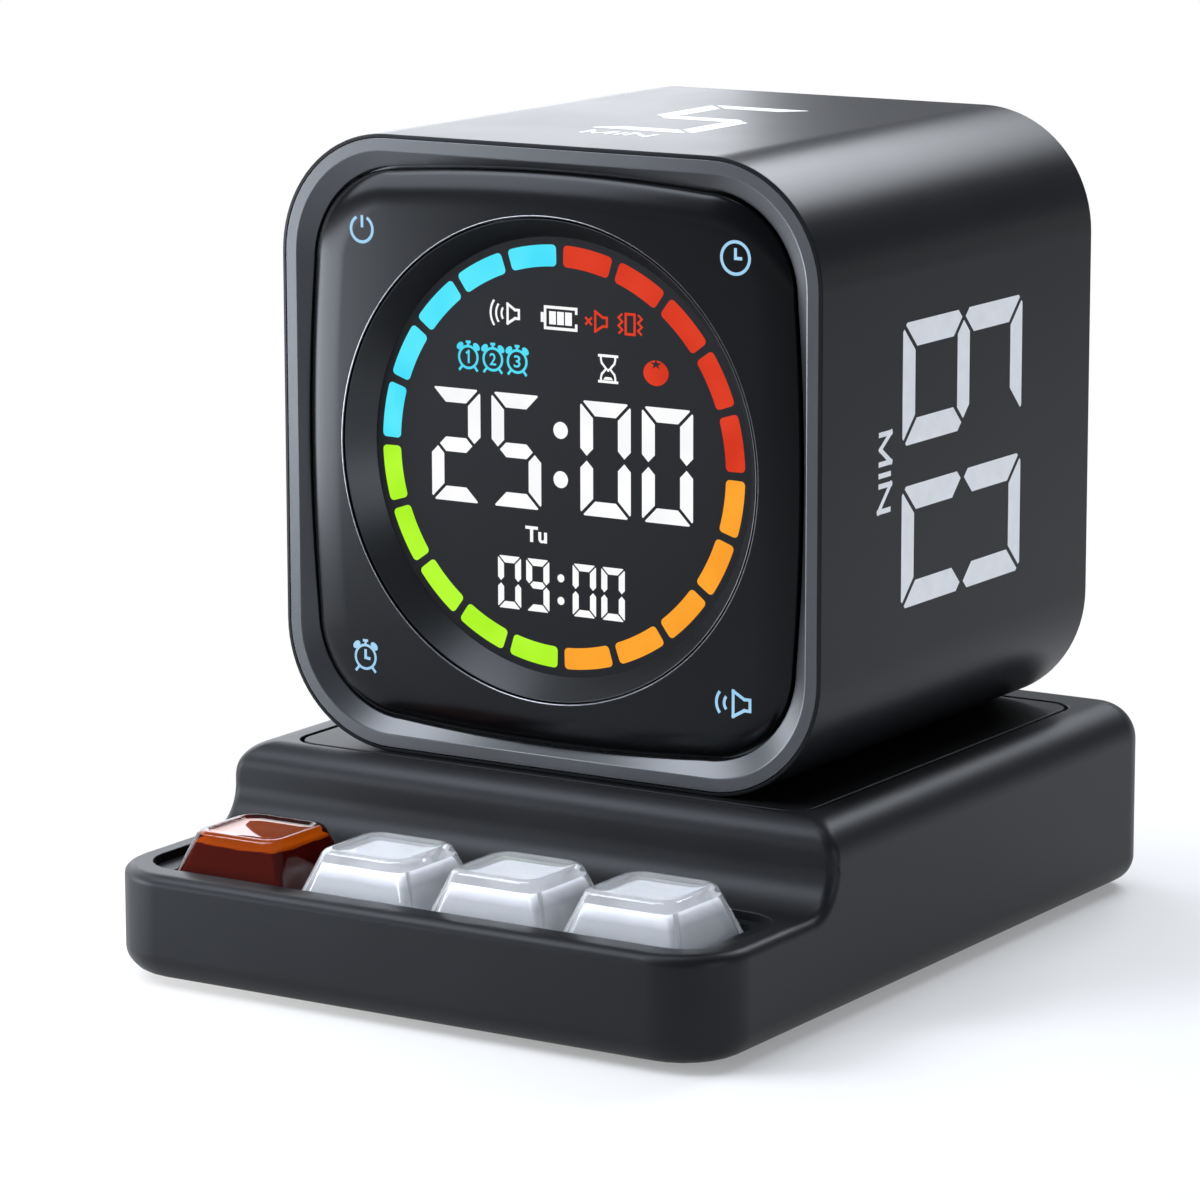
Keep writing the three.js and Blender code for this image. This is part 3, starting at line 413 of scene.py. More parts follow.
black_steel = brushed_metal("black_steel", (0.03, 0.03, 0.032), (0.07, 0.07, 0.074), 0.3, 0.45)
for number in range(1, 5):
    slotted_screw(f"base_screw_{number}", (0, 0, 1), f"dock_screw_{number}", "dock", black_steel)
    slotted_screw(f"rear_screw_{number}", (0, -1, 0), f"cube_screw_{number}", "cube", black_steel)

# Circuit boards, cells and chips: green laminate with copper tracks, foil-wrapped flat cells.
# They lie on pegs and shelves inside the dock and the cube and are not seen from outside.


def laminate(name, ground, track):
    """Solder-masked board with a net of tracks showing a shade lighter through the green."""
    material, tree, shader, place = new_material(name, Roughness=0.38)
    net = add_node(tree, "TexVoronoi", Vector=place, Scale=420)
    net.distance = "MANHATTAN"
    spread = net.outputs["Distance"]
    bump = add_node(tree, "Bump", Height=spread, Strength=0.4, Distance=0.02 * mm)
    tone = two_tones(tree, spread, ground, track, 0.5, 0.62)
    plug(tree, shader, Base_Color=tone, Normal=bump.outputs["Normal"])
    return material


green_laminate = laminate("green_laminate", (0.006, 0.04, 0.02), (0.02, 0.09, 0.045))
dress(green_laminate, "key_board", "power_board", "main_board", "charge_board")
chip_moulding = moulded_plastic(
    "chip_moulding", (0.012, 0.012, 0.013), (0.018, 0.018, 0.019), 0.45, 0.55, 0.15, 0.003
)
dress(chip_moulding, "motion_sensor")
cell_foil = brushed_metal(
    "cell_foil", (0.4, 0.41, 0.43), (0.6, 0.61, 0.63), 0.35, 0.5, (60, 60, 400)
)
dress(cell_foil, "base_battery", "cube_battery")

# Switches: a plate of black-lacquered steel holds four square housings over the key board.
# Each housing has a white sliding stem on a coiled steel spring, which the key presses together.
lacquered_steel = moulded_plastic(
    "lacquered_steel", (0.006, 0.006, 0.0065), (0.01, 0.01, 0.0105), 0.4, 0.5, 0.2, 0.004
)
dress(lacquered_steel, "key_plate")
slide_plastic = moulded_plastic(
    "slide_plastic", (0.6, 0.6, 0.61), (0.7, 0.7, 0.71), 0.4, 0.5, 0.3, 0.003
)
spring_wire, spring_curls, spring_steps = 0.2 * mm, 6, 144
spring_steel = brushed_metal("spring_steel", (0.45, 0.45, 0.46), (0.62, 0.62, 0.64), 0.22, 0.34)
for number in range(1, 5):
    dress(hidden_black, f"switch_housing_{number}")
    dress(slide_plastic, f"switch_stem_{number}")
    low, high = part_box(f"switch_spring_{number}")
    foot = Vector(((low.x + high.x) / 2, (low.y + high.y) / 2, low.z + spring_wire))
    head = foot + Vector((0, 0, high.z - low.z - 2 * spring_wire))
    wire_place = Matrix.Translation(foot + Vector(((high.x - low.x) / 2 - spring_wire, 0, 0)))
    coil = bmesh.new()
    bmesh.ops.create_circle(
        coil, segments=8, radius=spring_wire,
        matrix=wire_place @ Matrix.Rotation(math.pi / 2, 4, "X"),
    )
    bmesh.ops.spin(
        coil, geom=coil.verts[:] + coil.edges[:], cent=foot, axis=(0, 0, 1),
        dvec=(head - foot) / spring_steps, angle=2 * math.pi * spring_curls, steps=spring_steps,
    )
    bmesh.ops.holes_fill(coil, edges=coil.edges, sides=0)
    spring = finished(
        coil, f"return_spring_{number}", spring_steel, None, "plain_steel",
        f"switch_spring_{number}", even=False,
    )
    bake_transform(spring)

# Key cores: tapered bodies moulded in milky white plastic that glow softly through the clear caps.
# Each one is pushed onto its switch stem. The first is a deep red brown, moulded onto its cap.


def worked_out(tree, operation, *terms):
    """The result of one sum on values or outputs of other nodes."""
    node = add_node(tree, "Math")
    node.operation = operation
    for socket, term in zip(node.inputs, terms):
        set_input(tree, socket, term)
    return node.outputs["Value"]


def milky_plastic(name, shaded_foot_tone, lit_top_tone, base, rise, roughness, scatter, turn=0.72, gleam=0.2):
    """Translucent plastic with faint cloudiness, with painted shade at its foot and painted light
    at its top.
    """
    material, tree, shader, place = new_material(
        name, Roughness=roughness, Specular_IOR_Level=gleam,
        Subsurface_Weight=scatter, Subsurface_Scale=1.5 * mm,
    )
    # Painted shade and light: the tone climbs with height from a shaded foot to a lit top.
    height = add_node(tree, "SeparateXYZ", Vector=place).outputs["Z"]
    painted_light_rise = add_node(tree, "MapRange", Value=height, From_Min=base, From_Max=base + rise)
    cloud = add_node(tree, "TexNoise", Vector=place, Scale=260)
    shade_and_cloud = worked_out(tree, "MULTIPLY_ADD", cloud.outputs["Fac"], 0.12, painted_light_rise.outputs["Result"])
    plug(tree, shader, Base_Color=two_tones(tree, shade_and_cloud, shaded_foot_tone, lit_top_tone, turn))
    return material


def outline(half_x, half_y, corner, steps, cuts=0, bulge=0):
    """A flat rounded rectangle in X and Y, whose sides may swell outwards in a slight arc."""
    bm = bmesh.new()
    bmesh.ops.create_grid(bm, x_segments=1, y_segments=1, size=1)
    bmesh.ops.scale(bm, vec=(half_x - bulge, half_y - bulge, 1), verts=bm.verts)
    soften(bm, bm.verts[:], corner, steps, "VERTICES")
    if cuts:
        long_edges = [e for e in bm.edges if e.calc_length() > half_x / 2]
        bmesh.ops.subdivide_edges(bm, edges=long_edges, cuts=cuts)
    for vert in bm.verts:
        for out, along, reach in ((0, 1, half_x - bulge), (1, 0, half_y - bulge)):
            straight = reach - corner
            if bulge and abs(abs(vert.co[out]) - reach) < 1e-6 and abs(vert.co[along]) < straight:
                swell = bulge * (1 - (vert.co[along] / straight) ** 2)
                vert.co[out] += math.copysign(swell, vert.co[out])
    return bm


def lay_in(bm, other):
    """Copies one mesh into another and lets it go."""
    carrier = bpy.data.meshes.new("carrier")
    other.to_mesh(carrier)
    other.free()
    bm.from_mesh(carrier)
    bpy.data.meshes.remove(carrier)


def first_ring(bm, flat, place):
    """Lays a flat outline into a mesh as an open ring: its vertices in order, and its edges."""
    bmesh.ops.transform(flat, matrix=place, verts=flat.verts)
    count = len(flat.verts)
    lay_in(bm, flat)
    bm.verts.ensure_lookup_table()
    bm.faces.ensure_lookup_table()
    edges = list(bm.faces[-1].edges)
    bmesh.ops.delete(bm, geom=[bm.faces[-1]], context="FACES_ONLY")
    return bm.verts[-count:], edges


def next_ring(bm, ring, points):
    """Extrudes a ring and carries it to the points of the next one, corner for corner."""
    verts, edges = ring
    grown = bmesh.ops.extrude_edge_only(bm, edges=edges)["geom"]
    made = {g.co.copy().freeze(): g for g in grown if isinstance(g, bmesh.types.BMVert)}
    new_verts = [made[v.co.copy().freeze()] for v in verts]
    fresh = set(new_verts)
    new_edges = [
        g for g in grown if isinstance(g, bmesh.types.BMEdge) and all(v in fresh for v in g.verts)
    ]
    for vert, point in zip(new_verts, points):
        vert.co = point
    return new_verts, new_edges


def outline_points(flat, place):
    """The corners of a flat outline, laid in place."""
    points = [place @ v.co for v in flat.verts]
    flat.free()
    return points


def skin_over(outlines):
    """A skin drawn from one flat outline to the next; each comes with its place."""
    bm = bmesh.new()
    ring = first_ring(bm, *outlines[0])
    for flat, place in outlines[1:]:
        ring = next_ring(bm, ring, outline_points(flat, place))
    return bm, ring


def close_end(bm, ring):
    """Closes a ring with a flat lid."""
    bmesh.ops.edgeloop_fill(bm, edges=ring[1])


cap_base_half = ((key_high.x - key_low.x) / 2, (key_high.y - key_low.y) / 2)
cap_top_half = (6.4 * mm, 6.25 * mm)
cap_base, cap_top = key_low.z, key_high.z
cap_wall, cap_roof, bond = 1.1 * mm, 1.7 * mm, 0.03 * mm


def cap_half(height, inset):
    """Half width and depth of the tapered cap at a height, drawn in by a wall."""
    share = (height - cap_base) / (cap_top - cap_base)
    return [b + (t - b) * share - inset for b, t in zip(cap_base_half, cap_top_half)]


def at_key(low, high, height):
    """The middle of a key, at a height."""
    return Matrix.Translation(((low.x + high.x) / 2, (low.y + high.y) / 2, height))


core_low, core_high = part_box("keycap_core_1")
red_top = cap_top - 1.4 * mm
core_wall, core_corner = 1.25 * mm, 0.6 * mm
socket_half, socket_corner, socket_depth = 3.3 * mm, 2.9 * mm, 2.5 * mm
# Both cores are painted darker at the foot and paler at the top: painted shade and painted light.
milky_white_painted_shade = milky_plastic(
    "milky_white_painted_shade", (0.22, 0.227, 0.24), (0.76, 0.77, 0.79),
    core_low.z, core_high.z - core_low.z, 0.4, 0.25,
)
milky_red_painted_shade = milky_plastic(
    "milky_red_painted_shade", (0.036, 0.0006, 0.0008), (0.2, 0.08, 0.008),
    core_low.z, red_top - core_low.z, 0.35, 0.1, turn=0.99, gleam=0.04,
)
for number in range(1, 5):
    low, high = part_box(f"keycap_core_{number}")
    layers = [
        (outline(socket_half, socket_half, socket_corner, 5), at_key(low, high, height))
        for height in (low.z + socket_depth, low.z)
    ]
    wall = cap_wall - bond if number == 1 else core_wall
    top = red_top if number == 1 else high.z
    for height, inset in (
        (low.z, 0), (top - 0.4 * mm, 0), (top - 0.2 * mm, 0.08 * mm),
        (top - 0.06 * mm, 0.2 * mm), (top, 0.4 * mm),
    ):
        half_x, half_y = cap_half(height, wall + inset)
        layers.append((outline(half_x, half_y, core_corner, 5), at_key(low, high, height)))
    core, last = skin_over(layers)
    close_end(core, last)
    bmesh.ops.holes_fill(core, edges=core.edges, sides=0)
    finished(
        core, f"key_core_{number}", milky_red_painted_shade if number == 1 else milky_white_painted_shade, f"key_{number}",
        "red_core" if number == 1 else "white_core", f"keycap_core_{number}",
    )

# Key caps: clear acrylic shells with sloping walls, a rounded top edge and a shallow dished top.
# They clip over the cores, and the first one is tinted a transparent orange.


def clear_acrylic(name, dark, light, roughness, clarity, bending):
    """Polished transparent plastic, a trace milky, with a slightly uneven shine."""
    material, tree, shader, place = new_material(name, Transmission_Weight=clarity, IOR=bending)
    flow = add_node(tree, "TexNoise", Vector=place, Scale=180).outputs["Fac"]
    shine = add_node(tree, "MapRange", Value=flow, To_Min=roughness * 0.5, To_Max=roughness)
    tone = two_tones(tree, flow, dark, light)
    plug(tree, shader, Base_Color=tone, Roughness=shine.outputs["Result"])
    return material


clear_cap = clear_acrylic("clear_cap", (0.88, 0.9, 0.93), (0.93, 0.945, 0.97), 0.035, 0.84, 1.49)
orange_cap = clear_acrylic("orange_cap", (0.92, 0.2, 0.008), (1.0, 0.27, 0.012), 0.035, 0.998, 1.4)
for number in range(1, 5):
    low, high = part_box(f"keycap_shell_{number}")
    layers = []
    for height in (high.z - cap_roof, low.z):
        half_x, half_y = cap_half(height, cap_wall)
        layers.append((outline(half_x, half_y, 0.7 * mm, 5), at_key(low, high, height)))
    for drop, inset in (
        (high.z - low.z, 0), (0.5 * mm, 0), (0.26 * mm, 0.09 * mm), (0.08 * mm, 0.27 * mm),
        (0, 0.52 * mm), (0, 0.8 * mm), (0.03 * mm, 0.95 * mm), (0.15 * mm, 1.2 * mm),
        (0.3 * mm, 1.5 * mm), (0.4 * mm, 2.1 * mm), (0.45 * mm, 3.2 * mm),
    ):
        share = 1 - drop / (high.z - low.z)
        half_x, half_y = cap_half(high.z - drop, inset)
        corner = max(1.4 * mm + 1.0 * mm * share - inset * 0.6, 0.5 * mm)
        layers.append((outline(half_x, half_y, corner, 5), at_key(low, high, high.z - drop)))
    cap, last = skin_over(layers)
    close_end(cap, last)
    bmesh.ops.holes_fill(cap, edges=cap.edges, sides=0)
    cap_piece = finished(
        cap, f"key_cap_{number}", orange_cap if number == 1 else clear_cap, f"key_{number}",
        "orange_cap" if number == 1 else "clear_cap", f"keycap_shell_{number}", crease=40,
    )
    cap_piece.visible_shadow = False

# Cube sleeve: the rounded-square tube that is the cube's outer skin, moulded in satin charcoal.
# A thin lip at its front surrounds the bezel, and its back edge is left crisp round the cover.
sleeve_low, sleeve_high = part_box("cube_sleeve")
cube_centre = (sleeve_low + sleeve_high) / 2
cube_front, cube_back = sleeve_low.y, sleeve_high.y
cube_half = (sleeve_high.x - sleeve_low.x) / 2
cube_corner, lip, lip_depth, sleeve_wall = 15.9 * mm, 0.435 * mm, 1.6 * mm, 1.8 * mm
lip_round, tail_round = 0.14 * mm, 0.5 * mm
satin_charcoal = moulded_plastic(
    "satin_charcoal", (0.0064, 0.0067, 0.008), (0.0084, 0.0088, 0.0104), 0.3, 0.35, gleam=0.12
)


def sink_face(bm, face, push):
    """Carries a face straight along, leaving a wall behind it."""
    moved = bmesh.ops.extrude_discrete_faces(bm, faces=[face])["faces"][0]
    bmesh.ops.translate(bm, verts=moved.verts, vec=push)
    return moved


def join_rims(bm, one, other):
    """Takes two faces of one plane out and closes the ring between their rims."""
    edges = list(one.edges) + list(other.edges)
    bmesh.ops.delete(bm, geom=[one, other], context="FACES_ONLY")
    bmesh.ops.bridge_loops(bm, edges=edges)


ink_room = Vector((0.015 * mm, 0, 0.015 * mm))
sleeve = rounded_block(sleeve_low + ink_room, sleeve_high - ink_room, cube_corner, 1, 20)
round_over(sleeve, end_face(sleeve, (0, -1, 0)), lip_round, 2)
round_over(sleeve, end_face(sleeve, (0, 1, 0)), tail_round, 3)
mouth = end_face(sleeve, (0, -1, 0))
bmesh.ops.inset_region(sleeve, faces=[mouth], thickness=lip - lip_round, use_even_offset=True)
mouth = sink_face(sleeve, mouth, (0, lip_depth, 0))
bmesh.ops.inset_region(sleeve, faces=[mouth], thickness=sleeve_wall - lip, use_even_offset=True)
mouth = sink_face(sleeve, mouth, (0, cube_back - cube_front - lip_depth, 0))
tail = [f for f in sleeve.faces if f is not mouth and len(f.verts) > 40 and f.normal.y > 0.9]
join_rims(sleeve, mouth, tail[0])
finished(sleeve, "cube_sleeve_moulding", satin_charcoal, "cube", "sleeve_plastic", "cube_sleeve")

# Minute figures: pale grey ink pad-printed on the sleeve's four sides, one time for each side.
# They are drawn in broken bars like the display's, with the unit below them towards the front.


def flat_frame(origin, right, up):
    """Where a drawing lies: its origin, its reading direction and its upward direction."""
    right, up = Vector(right), Vector(up)
    out = right.cross(up)
    turn = Matrix((right, up, out)).transposed().to_4x4()
    return Matrix.Translation(Vector(origin)) @ turn


def bar_figure(bm, figure, left, bottom, width, height, bar, gap, cut, tip, place):
    """One figure in separate bars with mitred ends, drawn in millimetres."""
    shift = gap / math.sqrt(2)
    middle = height / 2
    near, far = (cut + shift) / 2, (cut - shift) / 2
    top = [(cut, height), (near, height - far), (bar + shift, height - bar)]
    side = [
        (0, height - cut), (0, middle + tip + shift), (tip, middle + shift),
        (bar, middle + bar - tip + shift), (bar, height - bar - shift), (far, height - near),
    ]

    def flip_x(points):
        return [(width - x, y) for x, y in points][::-1]

    def flip_y(points):
        return [(x, height - y) for x, y in points][::-1]

    top = top + flip_x(top)
    point, half = tip + shift, bar / 2
    across = [
        (point, middle), (point + half, middle - half),
        (width - point - half, middle - half), (width - point, middle),
        (width - point - half, middle + half), (point + half, middle + half),
    ]
    bars = {
        "a": top, "d": flip_y(top), "g": across,
        "f": side, "b": flip_x(side), "e": flip_y(side), "c": flip_y(flip_x(side)),
    }
    lit = {
        "0": "abcdef", "1": "bc", "2": "abged", "3": "abgcd",
        "5": "afgcd", "6": "afgedc", "9": "abcdfg",
    }
    for key in lit[figure]:
        flat_plate(bm, [(left + x, bottom + y) for x, y in bars[key]], place)


def flat_plate(bm, outline, place):
    """A flat patch of ink or light with the given outline, in millimetres, facing outwards."""
    verts = [bm.verts.new(place @ Vector((x * mm, y * mm, 0))) for x, y in outline]
    patch = bm.faces.new(verts)
    patch.normal_update()
    if patch.normal.dot(place.to_3x3() @ Vector((0, 0, 1))) < 0:
        patch.normal_flip()


def add_words(bm, words, left, bottom, width, height, place, weight):
    """Plain upright lettering, thickened a little, filling a box of millimetres."""
    letters = bpy.data.curves.new("letters", "FONT")
    letters.body = words
    letters.size = 1
    letters.offset = weight
    letters.resolution_u = 4
    holder = bpy.data.objects.new("letters", letters)
    bpy.context.scene.collection.objects.link(holder)
    bpy.context.view_layer.update()
    depsgraph = bpy.context.evaluated_depsgraph_get()
    drawn = bpy.data.meshes.new_from_object(holder.evaluated_get(depsgraph))
    xs = [v.co.x for v in drawn.vertices]
    ys = [v.co.y for v in drawn.vertices]
    wide, tall = width / (max(xs) - min(xs)), height / (max(ys) - min(ys))
    drawn.transform(Matrix.Translation((-min(xs), -min(ys), 0)))
    drawn.transform(Matrix.Diagonal((wide, tall, 1, 1)))
    drawn.transform(Matrix.Translation((left, bottom, 0)))
    drawn.transform(Matrix.Diagonal((mm, mm, 0.00001, 1)))
    drawn.transform(place)
    bm.from_mesh(drawn)
    bpy.data.objects.remove(holder)
    bpy.data.meshes.remove(drawn)
    bpy.data.curves.remove(letters)


def add_lines(bm, lines, pen, place):
    """Flat strokes of one width along millimetre points, closed where a line ends at its start."""
    laid = 0
    for points in lines:
        spots = [Vector((x, y, 0)) for x, y in points]
        closed = (spots[0] - spots[-1]).length < 1e-6
        for i, (start, end) in enumerate(zip(spots, spots[1:])):
            along = (end - start).normalized()
            before = spots[i - 1] if i else (spots[-2] if closed else None)
            after = spots[i + 2] if i + 2 < len(spots) else (spots[1] if closed else None)
            if before is not None and along.angle(start - before) > 0.4:
                start = start - along * pen / 2
            if after is not None and along.angle(after - end) > 0.4:
                end = end + along * pen / 2
            turn = Matrix.Rotation(math.atan2(along.y, along.x), 4, "Z")
            size = Matrix.Diagonal(((end - start).length * mm, pen * mm, 1, 1))
            centre = (start + end) / 2 + Vector((0, 0, 0.001 * (laid % 3)))
            strip = place @ Matrix.Translation(centre * mm) @ turn @ size
            bmesh.ops.create_grid(bm, x_segments=1, y_segments=1, size=0.5, matrix=strip)
            laid += 1


def laid_on(bm, name, material, body):
    """A drawing that lies on another piece, without thickness."""
    piece = new_piece(bm, name, material)
    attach(piece, body)
    return piece


pale_ink = moulded_plastic(
    "pale_ink", (0.8, 0.81, 0.83), (0.86, 0.87, 0.89), 0.45, 0.53, 0.2, 0.002, 400
)
skin = 0.012 * mm
ink_lift = skin - ink_room.x
figure_pitch = 20.55
side_figure = dict(bottom=-15.5, width=15.4, height=31.5, bar=3.2, gap=0.62, cut=1.05, tip=1.0)
unit_left, unit_foot, unit_head, unit_pen = -5.3, -21.45, -18.35, 0.66
unit_letters = (
    [
        (0.47, unit_foot), (0.47, unit_head), (2.31, unit_foot + 0.4),
        (4.15, unit_head), (4.15, unit_foot),
    ],
    [(5.6, unit_foot), (5.6, unit_head)],
    [(6.9, unit_foot), (6.9, unit_head), (10.08, unit_foot), (10.08, unit_head)],
)
for side_name, figures, offset, right, shift in (
    ("right", "60", (cube_half + ink_lift, 0, 0), (0, 0, -1), 0),
    ("left", "15", (-cube_half - ink_lift, 0, 0), (0, 0, 1), 0),
    ("top", "5", (0, 0, cube_half + ink_lift), (1, 0, 0), 1.2),
    ("under", "30", (0, 0, -cube_half - ink_lift), (-1, 0, 0), 0),
):
    place = flat_frame(cube_centre + Vector(offset), right, (0, 1, 0))
    ink = bmesh.new()
    start = shift - (side_figure["width"] + figure_pitch * (len(figures) - 1)) / 2
    for i, figure in enumerate(figures):
        bar_figure(ink, figure, start + i * figure_pitch, **side_figure, place=place)
    unit = [[(unit_left + shift + x, y) for x, y in letter] for letter in unit_letters]
    add_lines(ink, unit, unit_pen, place)
    laid_on(ink, f"minute_print_{side_name}", pale_ink, "cube")

# Front bezel: a satin ring inside the sleeve's lip, with a flat rim and a slope down to the panel.
# It is moulded with a ledge that carries the panel, and pushes into the sleeve from the front.
satin_grey = moulded_plastic(
    "satin_grey", (0.0105, 0.0108, 0.0124), (0.0135, 0.0138, 0.0158), 0.3, 0.36, 0.22, 0.002,
    gleam=0.75,
)
rim_inset, rim_width, rim_thick, slope_depth = 0.52 * mm, 1.68 * mm, 1.3 * mm, 1.2 * mm
panel_inset, ledge_inset, ledge_depth, skirt_inset = 3.15 * mm, 5.15 * mm, 2.65 * mm, 2.1 * mm
panel_half, panel_bulge, panel_corner = cube_half - panel_inset, 1.0 * mm, 13 * mm
bezel_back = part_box("front_bezel")[1].y


def on_front(y):
    """The cube's front view at a depth: X stays, and up is Z."""
    middle = Matrix.Translation((cube_centre.x, y, cube_centre.z))
    return middle @ Matrix.Rotation(math.pi / 2, 4, "X")


bezel_layers = []
bezel_depth = bezel_back - cube_front
for inset, depth, bulge in (
    (rim_inset, 0, 0), (rim_inset + rim_width, 0, 0),
    (panel_inset, slope_depth, panel_bulge), (panel_inset, ledge_depth, panel_bulge),
    (ledge_inset, ledge_depth, panel_bulge), (ledge_inset, bezel_depth, panel_bulge),
    (skirt_inset, bezel_depth, 0), (skirt_inset, rim_thick, 0), (rim_inset, rim_thick, 0),
    (rim_inset, 0, 0),
):
    half = cube_half - inset
    corner = panel_corner + panel_inset - inset if bulge else cube_corner - inset
    bezel_layers.append((outline(half, half, corner, 16, 11, bulge), on_front(cube_front + depth)))
bezel, last = skin_over(bezel_layers)
bmesh.ops.remove_doubles(bezel, verts=bezel.verts, dist=1e-7)
bezel_piece = finished(
    bezel, "front_bezel_ring", satin_grey, "cube", "bezel_plastic", "front_bezel",
    crease=12, even=False,
)
softening = bezel_piece.modifiers.new("soft_edges", "BEVEL")
softening.limit_method = "ANGLE"
softening.angle_limit = math.radians(12)
softening.width = 0.1 * mm
softening.segments = 2
shade_evenly(bezel_piece)

# Front panel: gloss black moulding, rounded over towards its edges like a pillow.
# It sits on the bezel's ledge, and its round opening has a fine chamfer under the dial's trim.


def gloss_plastic(name, dark, light, smooth, rough, gleam):
    """High-gloss lacquered plastic: a hard clear shine with the faintest ripple."""
    return moulded_plastic(name, dark, light, smooth, rough, 9, 0.004, 40, gleam)


gloss_black = gloss_plastic(
    "gloss_black", (0.0012, 0.0012, 0.0015), (0.002, 0.002, 0.0024), 0.16, 0.22, 0.17
)
panel_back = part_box("front_panel")[1].y
panel_gap, panel_round, panel_round_depth = 0.35 * mm, 5 * mm, 1.3 * mm
dial_radius = 30.75 * mm
dial_chamfer = 0.16 * mm
panel_layers = [(0, panel_back), (0, cube_front + panel_round_depth)]
round_steps = 14
for step in range(1, round_steps + 1):
    angle = step / round_steps * math.pi / 2
    drop = panel_round_depth * (1 - math.sin(angle))
    panel_layers.append((panel_round * (1 - math.cos(angle)), cube_front + drop))
panel_outlines = []
for inset, y in panel_layers:
    half = panel_half - panel_gap - inset
    corner = panel_corner - panel_gap - inset
    panel_outlines.append((outline(half, half, corner, 16, 11, panel_bulge), on_front(y)))
panel, rim = skin_over(panel_outlines)
for radius, y in (
    (dial_radius + dial_chamfer, cube_front),
    (dial_radius, cube_front + dial_chamfer),
    (dial_radius, panel_back),
):
    circle = []
    for vert in rim[0]:
        spoke = Vector((vert.co.x - cube_centre.x, 0, vert.co.z - cube_centre.z))
        out = spoke.normalized() * radius
        circle.append(Vector((cube_centre.x + out.x, y, cube_centre.z + out.z)))
    rim = next_ring(panel, rim, circle)
half = panel_half - panel_gap
back_outline = outline(half, half, panel_corner - panel_gap, 16, 11, panel_bulge)
next_ring(panel, rim, outline_points(back_outline, on_front(panel_back)))
bmesh.ops.remove_doubles(panel, verts=panel.verts, dist=1e-7)
finished(
    panel, "front_panel_moulding", gloss_black, "cube", "gloss_panel", "front_panel", crease=30
)
dress(gloss_black, "touch_film")

# Dial trim: a hair-fine ring of polished metal let into the edge of the panel's round opening.
# It is turned from thin tube, pressed in flush, and catches the light as a bright line.
polished_trim = brushed_metal("polished_trim", (0.13, 0.134, 0.145), (0.18, 0.185, 0.2), 0.22, 0.3)
trim_out, trim_in, trim_depth = dial_radius + dial_chamfer, dial_radius - 0.02 * mm, 0.5 * mm
trim = turned(
    [
        (trim_out, trim_depth), (trim_out, 0), (dial_radius + 0.12 * mm, -0.02 * mm),
        (dial_radius + 0.06 * mm, -0.02 * mm), (trim_in, 0.05 * mm), (trim_in, trim_depth),
        (trim_out, trim_depth),
    ],
    (cube_centre.x, cube_front, cube_centre.z), (0, 1, 0), 160,
)
finished(trim, "dial_trim_ring", polished_trim, "cube", "plain_steel", crease=30)

# Dial cone: the gloss black funnel from the panel's opening down to the display.
# It is a separate turned-looking moulding with a flange behind, clamped by the panel.
cone_low, cone_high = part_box("dial_cone")
cone_depth, flange = cone_high.y - cone_low.y, (cone_high.x - cone_low.x) / 2
display_radius, cone_lip, flange_depth = 27.9 * mm, dial_radius - 0.25 * mm, 2.95 * mm
funnel = turned(
    [
        (display_radius, cone_depth), (cone_lip - 0.12 * mm, 0.03 * mm),
        (cone_lip - 0.04 * mm, 0), (cone_lip, 0.06 * mm), (cone_lip, flange_depth),
        (flange, flange_depth), (flange, cone_depth), (display_radius, cone_depth),
    ],
    (cube_centre.x, cone_low.y, cube_centre.z), (0, 1, 0), 160,
)
funnel_black = gloss_plastic(
    "funnel_black", (0.0012, 0.0012, 0.0015), (0.002, 0.002, 0.0024), 0.3, 0.36, 0.6
)
finished(funnel, "dial_funnel", funnel_black, "cube", "gloss_panel", "dial_cone", crease=30)

# Display window: a flat disc of smoked plastic over the lamps, with a fine matt front.
# It is cut from sheet and held between the cone and the display module.
window_low, window_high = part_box("display_window")
smoked_plastic = moulded_plastic(
    "smoked_plastic", (0.0082, 0.0087, 0.01), (0.0106, 0.0111, 0.0126), 0.5, 0.6, 0.3, 0.001,
    drift=30, gleam=0.08,
)
pane_thick, pane_radius = window_high.y - window_low.y, (window_high.x - window_low.x) / 2
pane_edge = 0.1 * mm
pane = turned(
    [
        (0, 0), (pane_radius - pane_edge, 0), (pane_radius, pane_edge),
        (pane_radius, pane_thick), (0, pane_thick),
    ],
    (cube_centre.x, window_low.y, cube_centre.z), (0, 1, 0), 128,
)
finished(pane, "display_pane", smoked_plastic, "cube", "smoked_lens", "display_window", crease=30)
lamp_guide = moulded_plastic("lamp_guide", (0.55, 0.56, 0.58), (0.66, 0.67, 0.69), 0.5, 0.6)
dress(lamp_guide, "display_module")

# Lit ring: twenty rounded blocks of coloured light round the display, a quarter for each colour.
# Lamps behind the smoked window shine through a printed mask with these openings.


def lit_mask(name, dim, bright):
    """Light through a printed mask, a little uneven in brightness from place to place."""
    material, tree, shader, place = new_material(
        name, Base_Color=(0.002, 0.002, 0.002, 1), Specular_IOR_Level=0.03, Roughness=0.6,
        Emission_Strength=1,
    )
    lamps = add_node(tree, "TexNoise", Vector=place, Scale=150, Detail=1)
    plug(tree, shader, Emission_Color=two_tones(tree, lamps.outputs["Fac"], dim, bright, 0.3, 0.6))
    return material


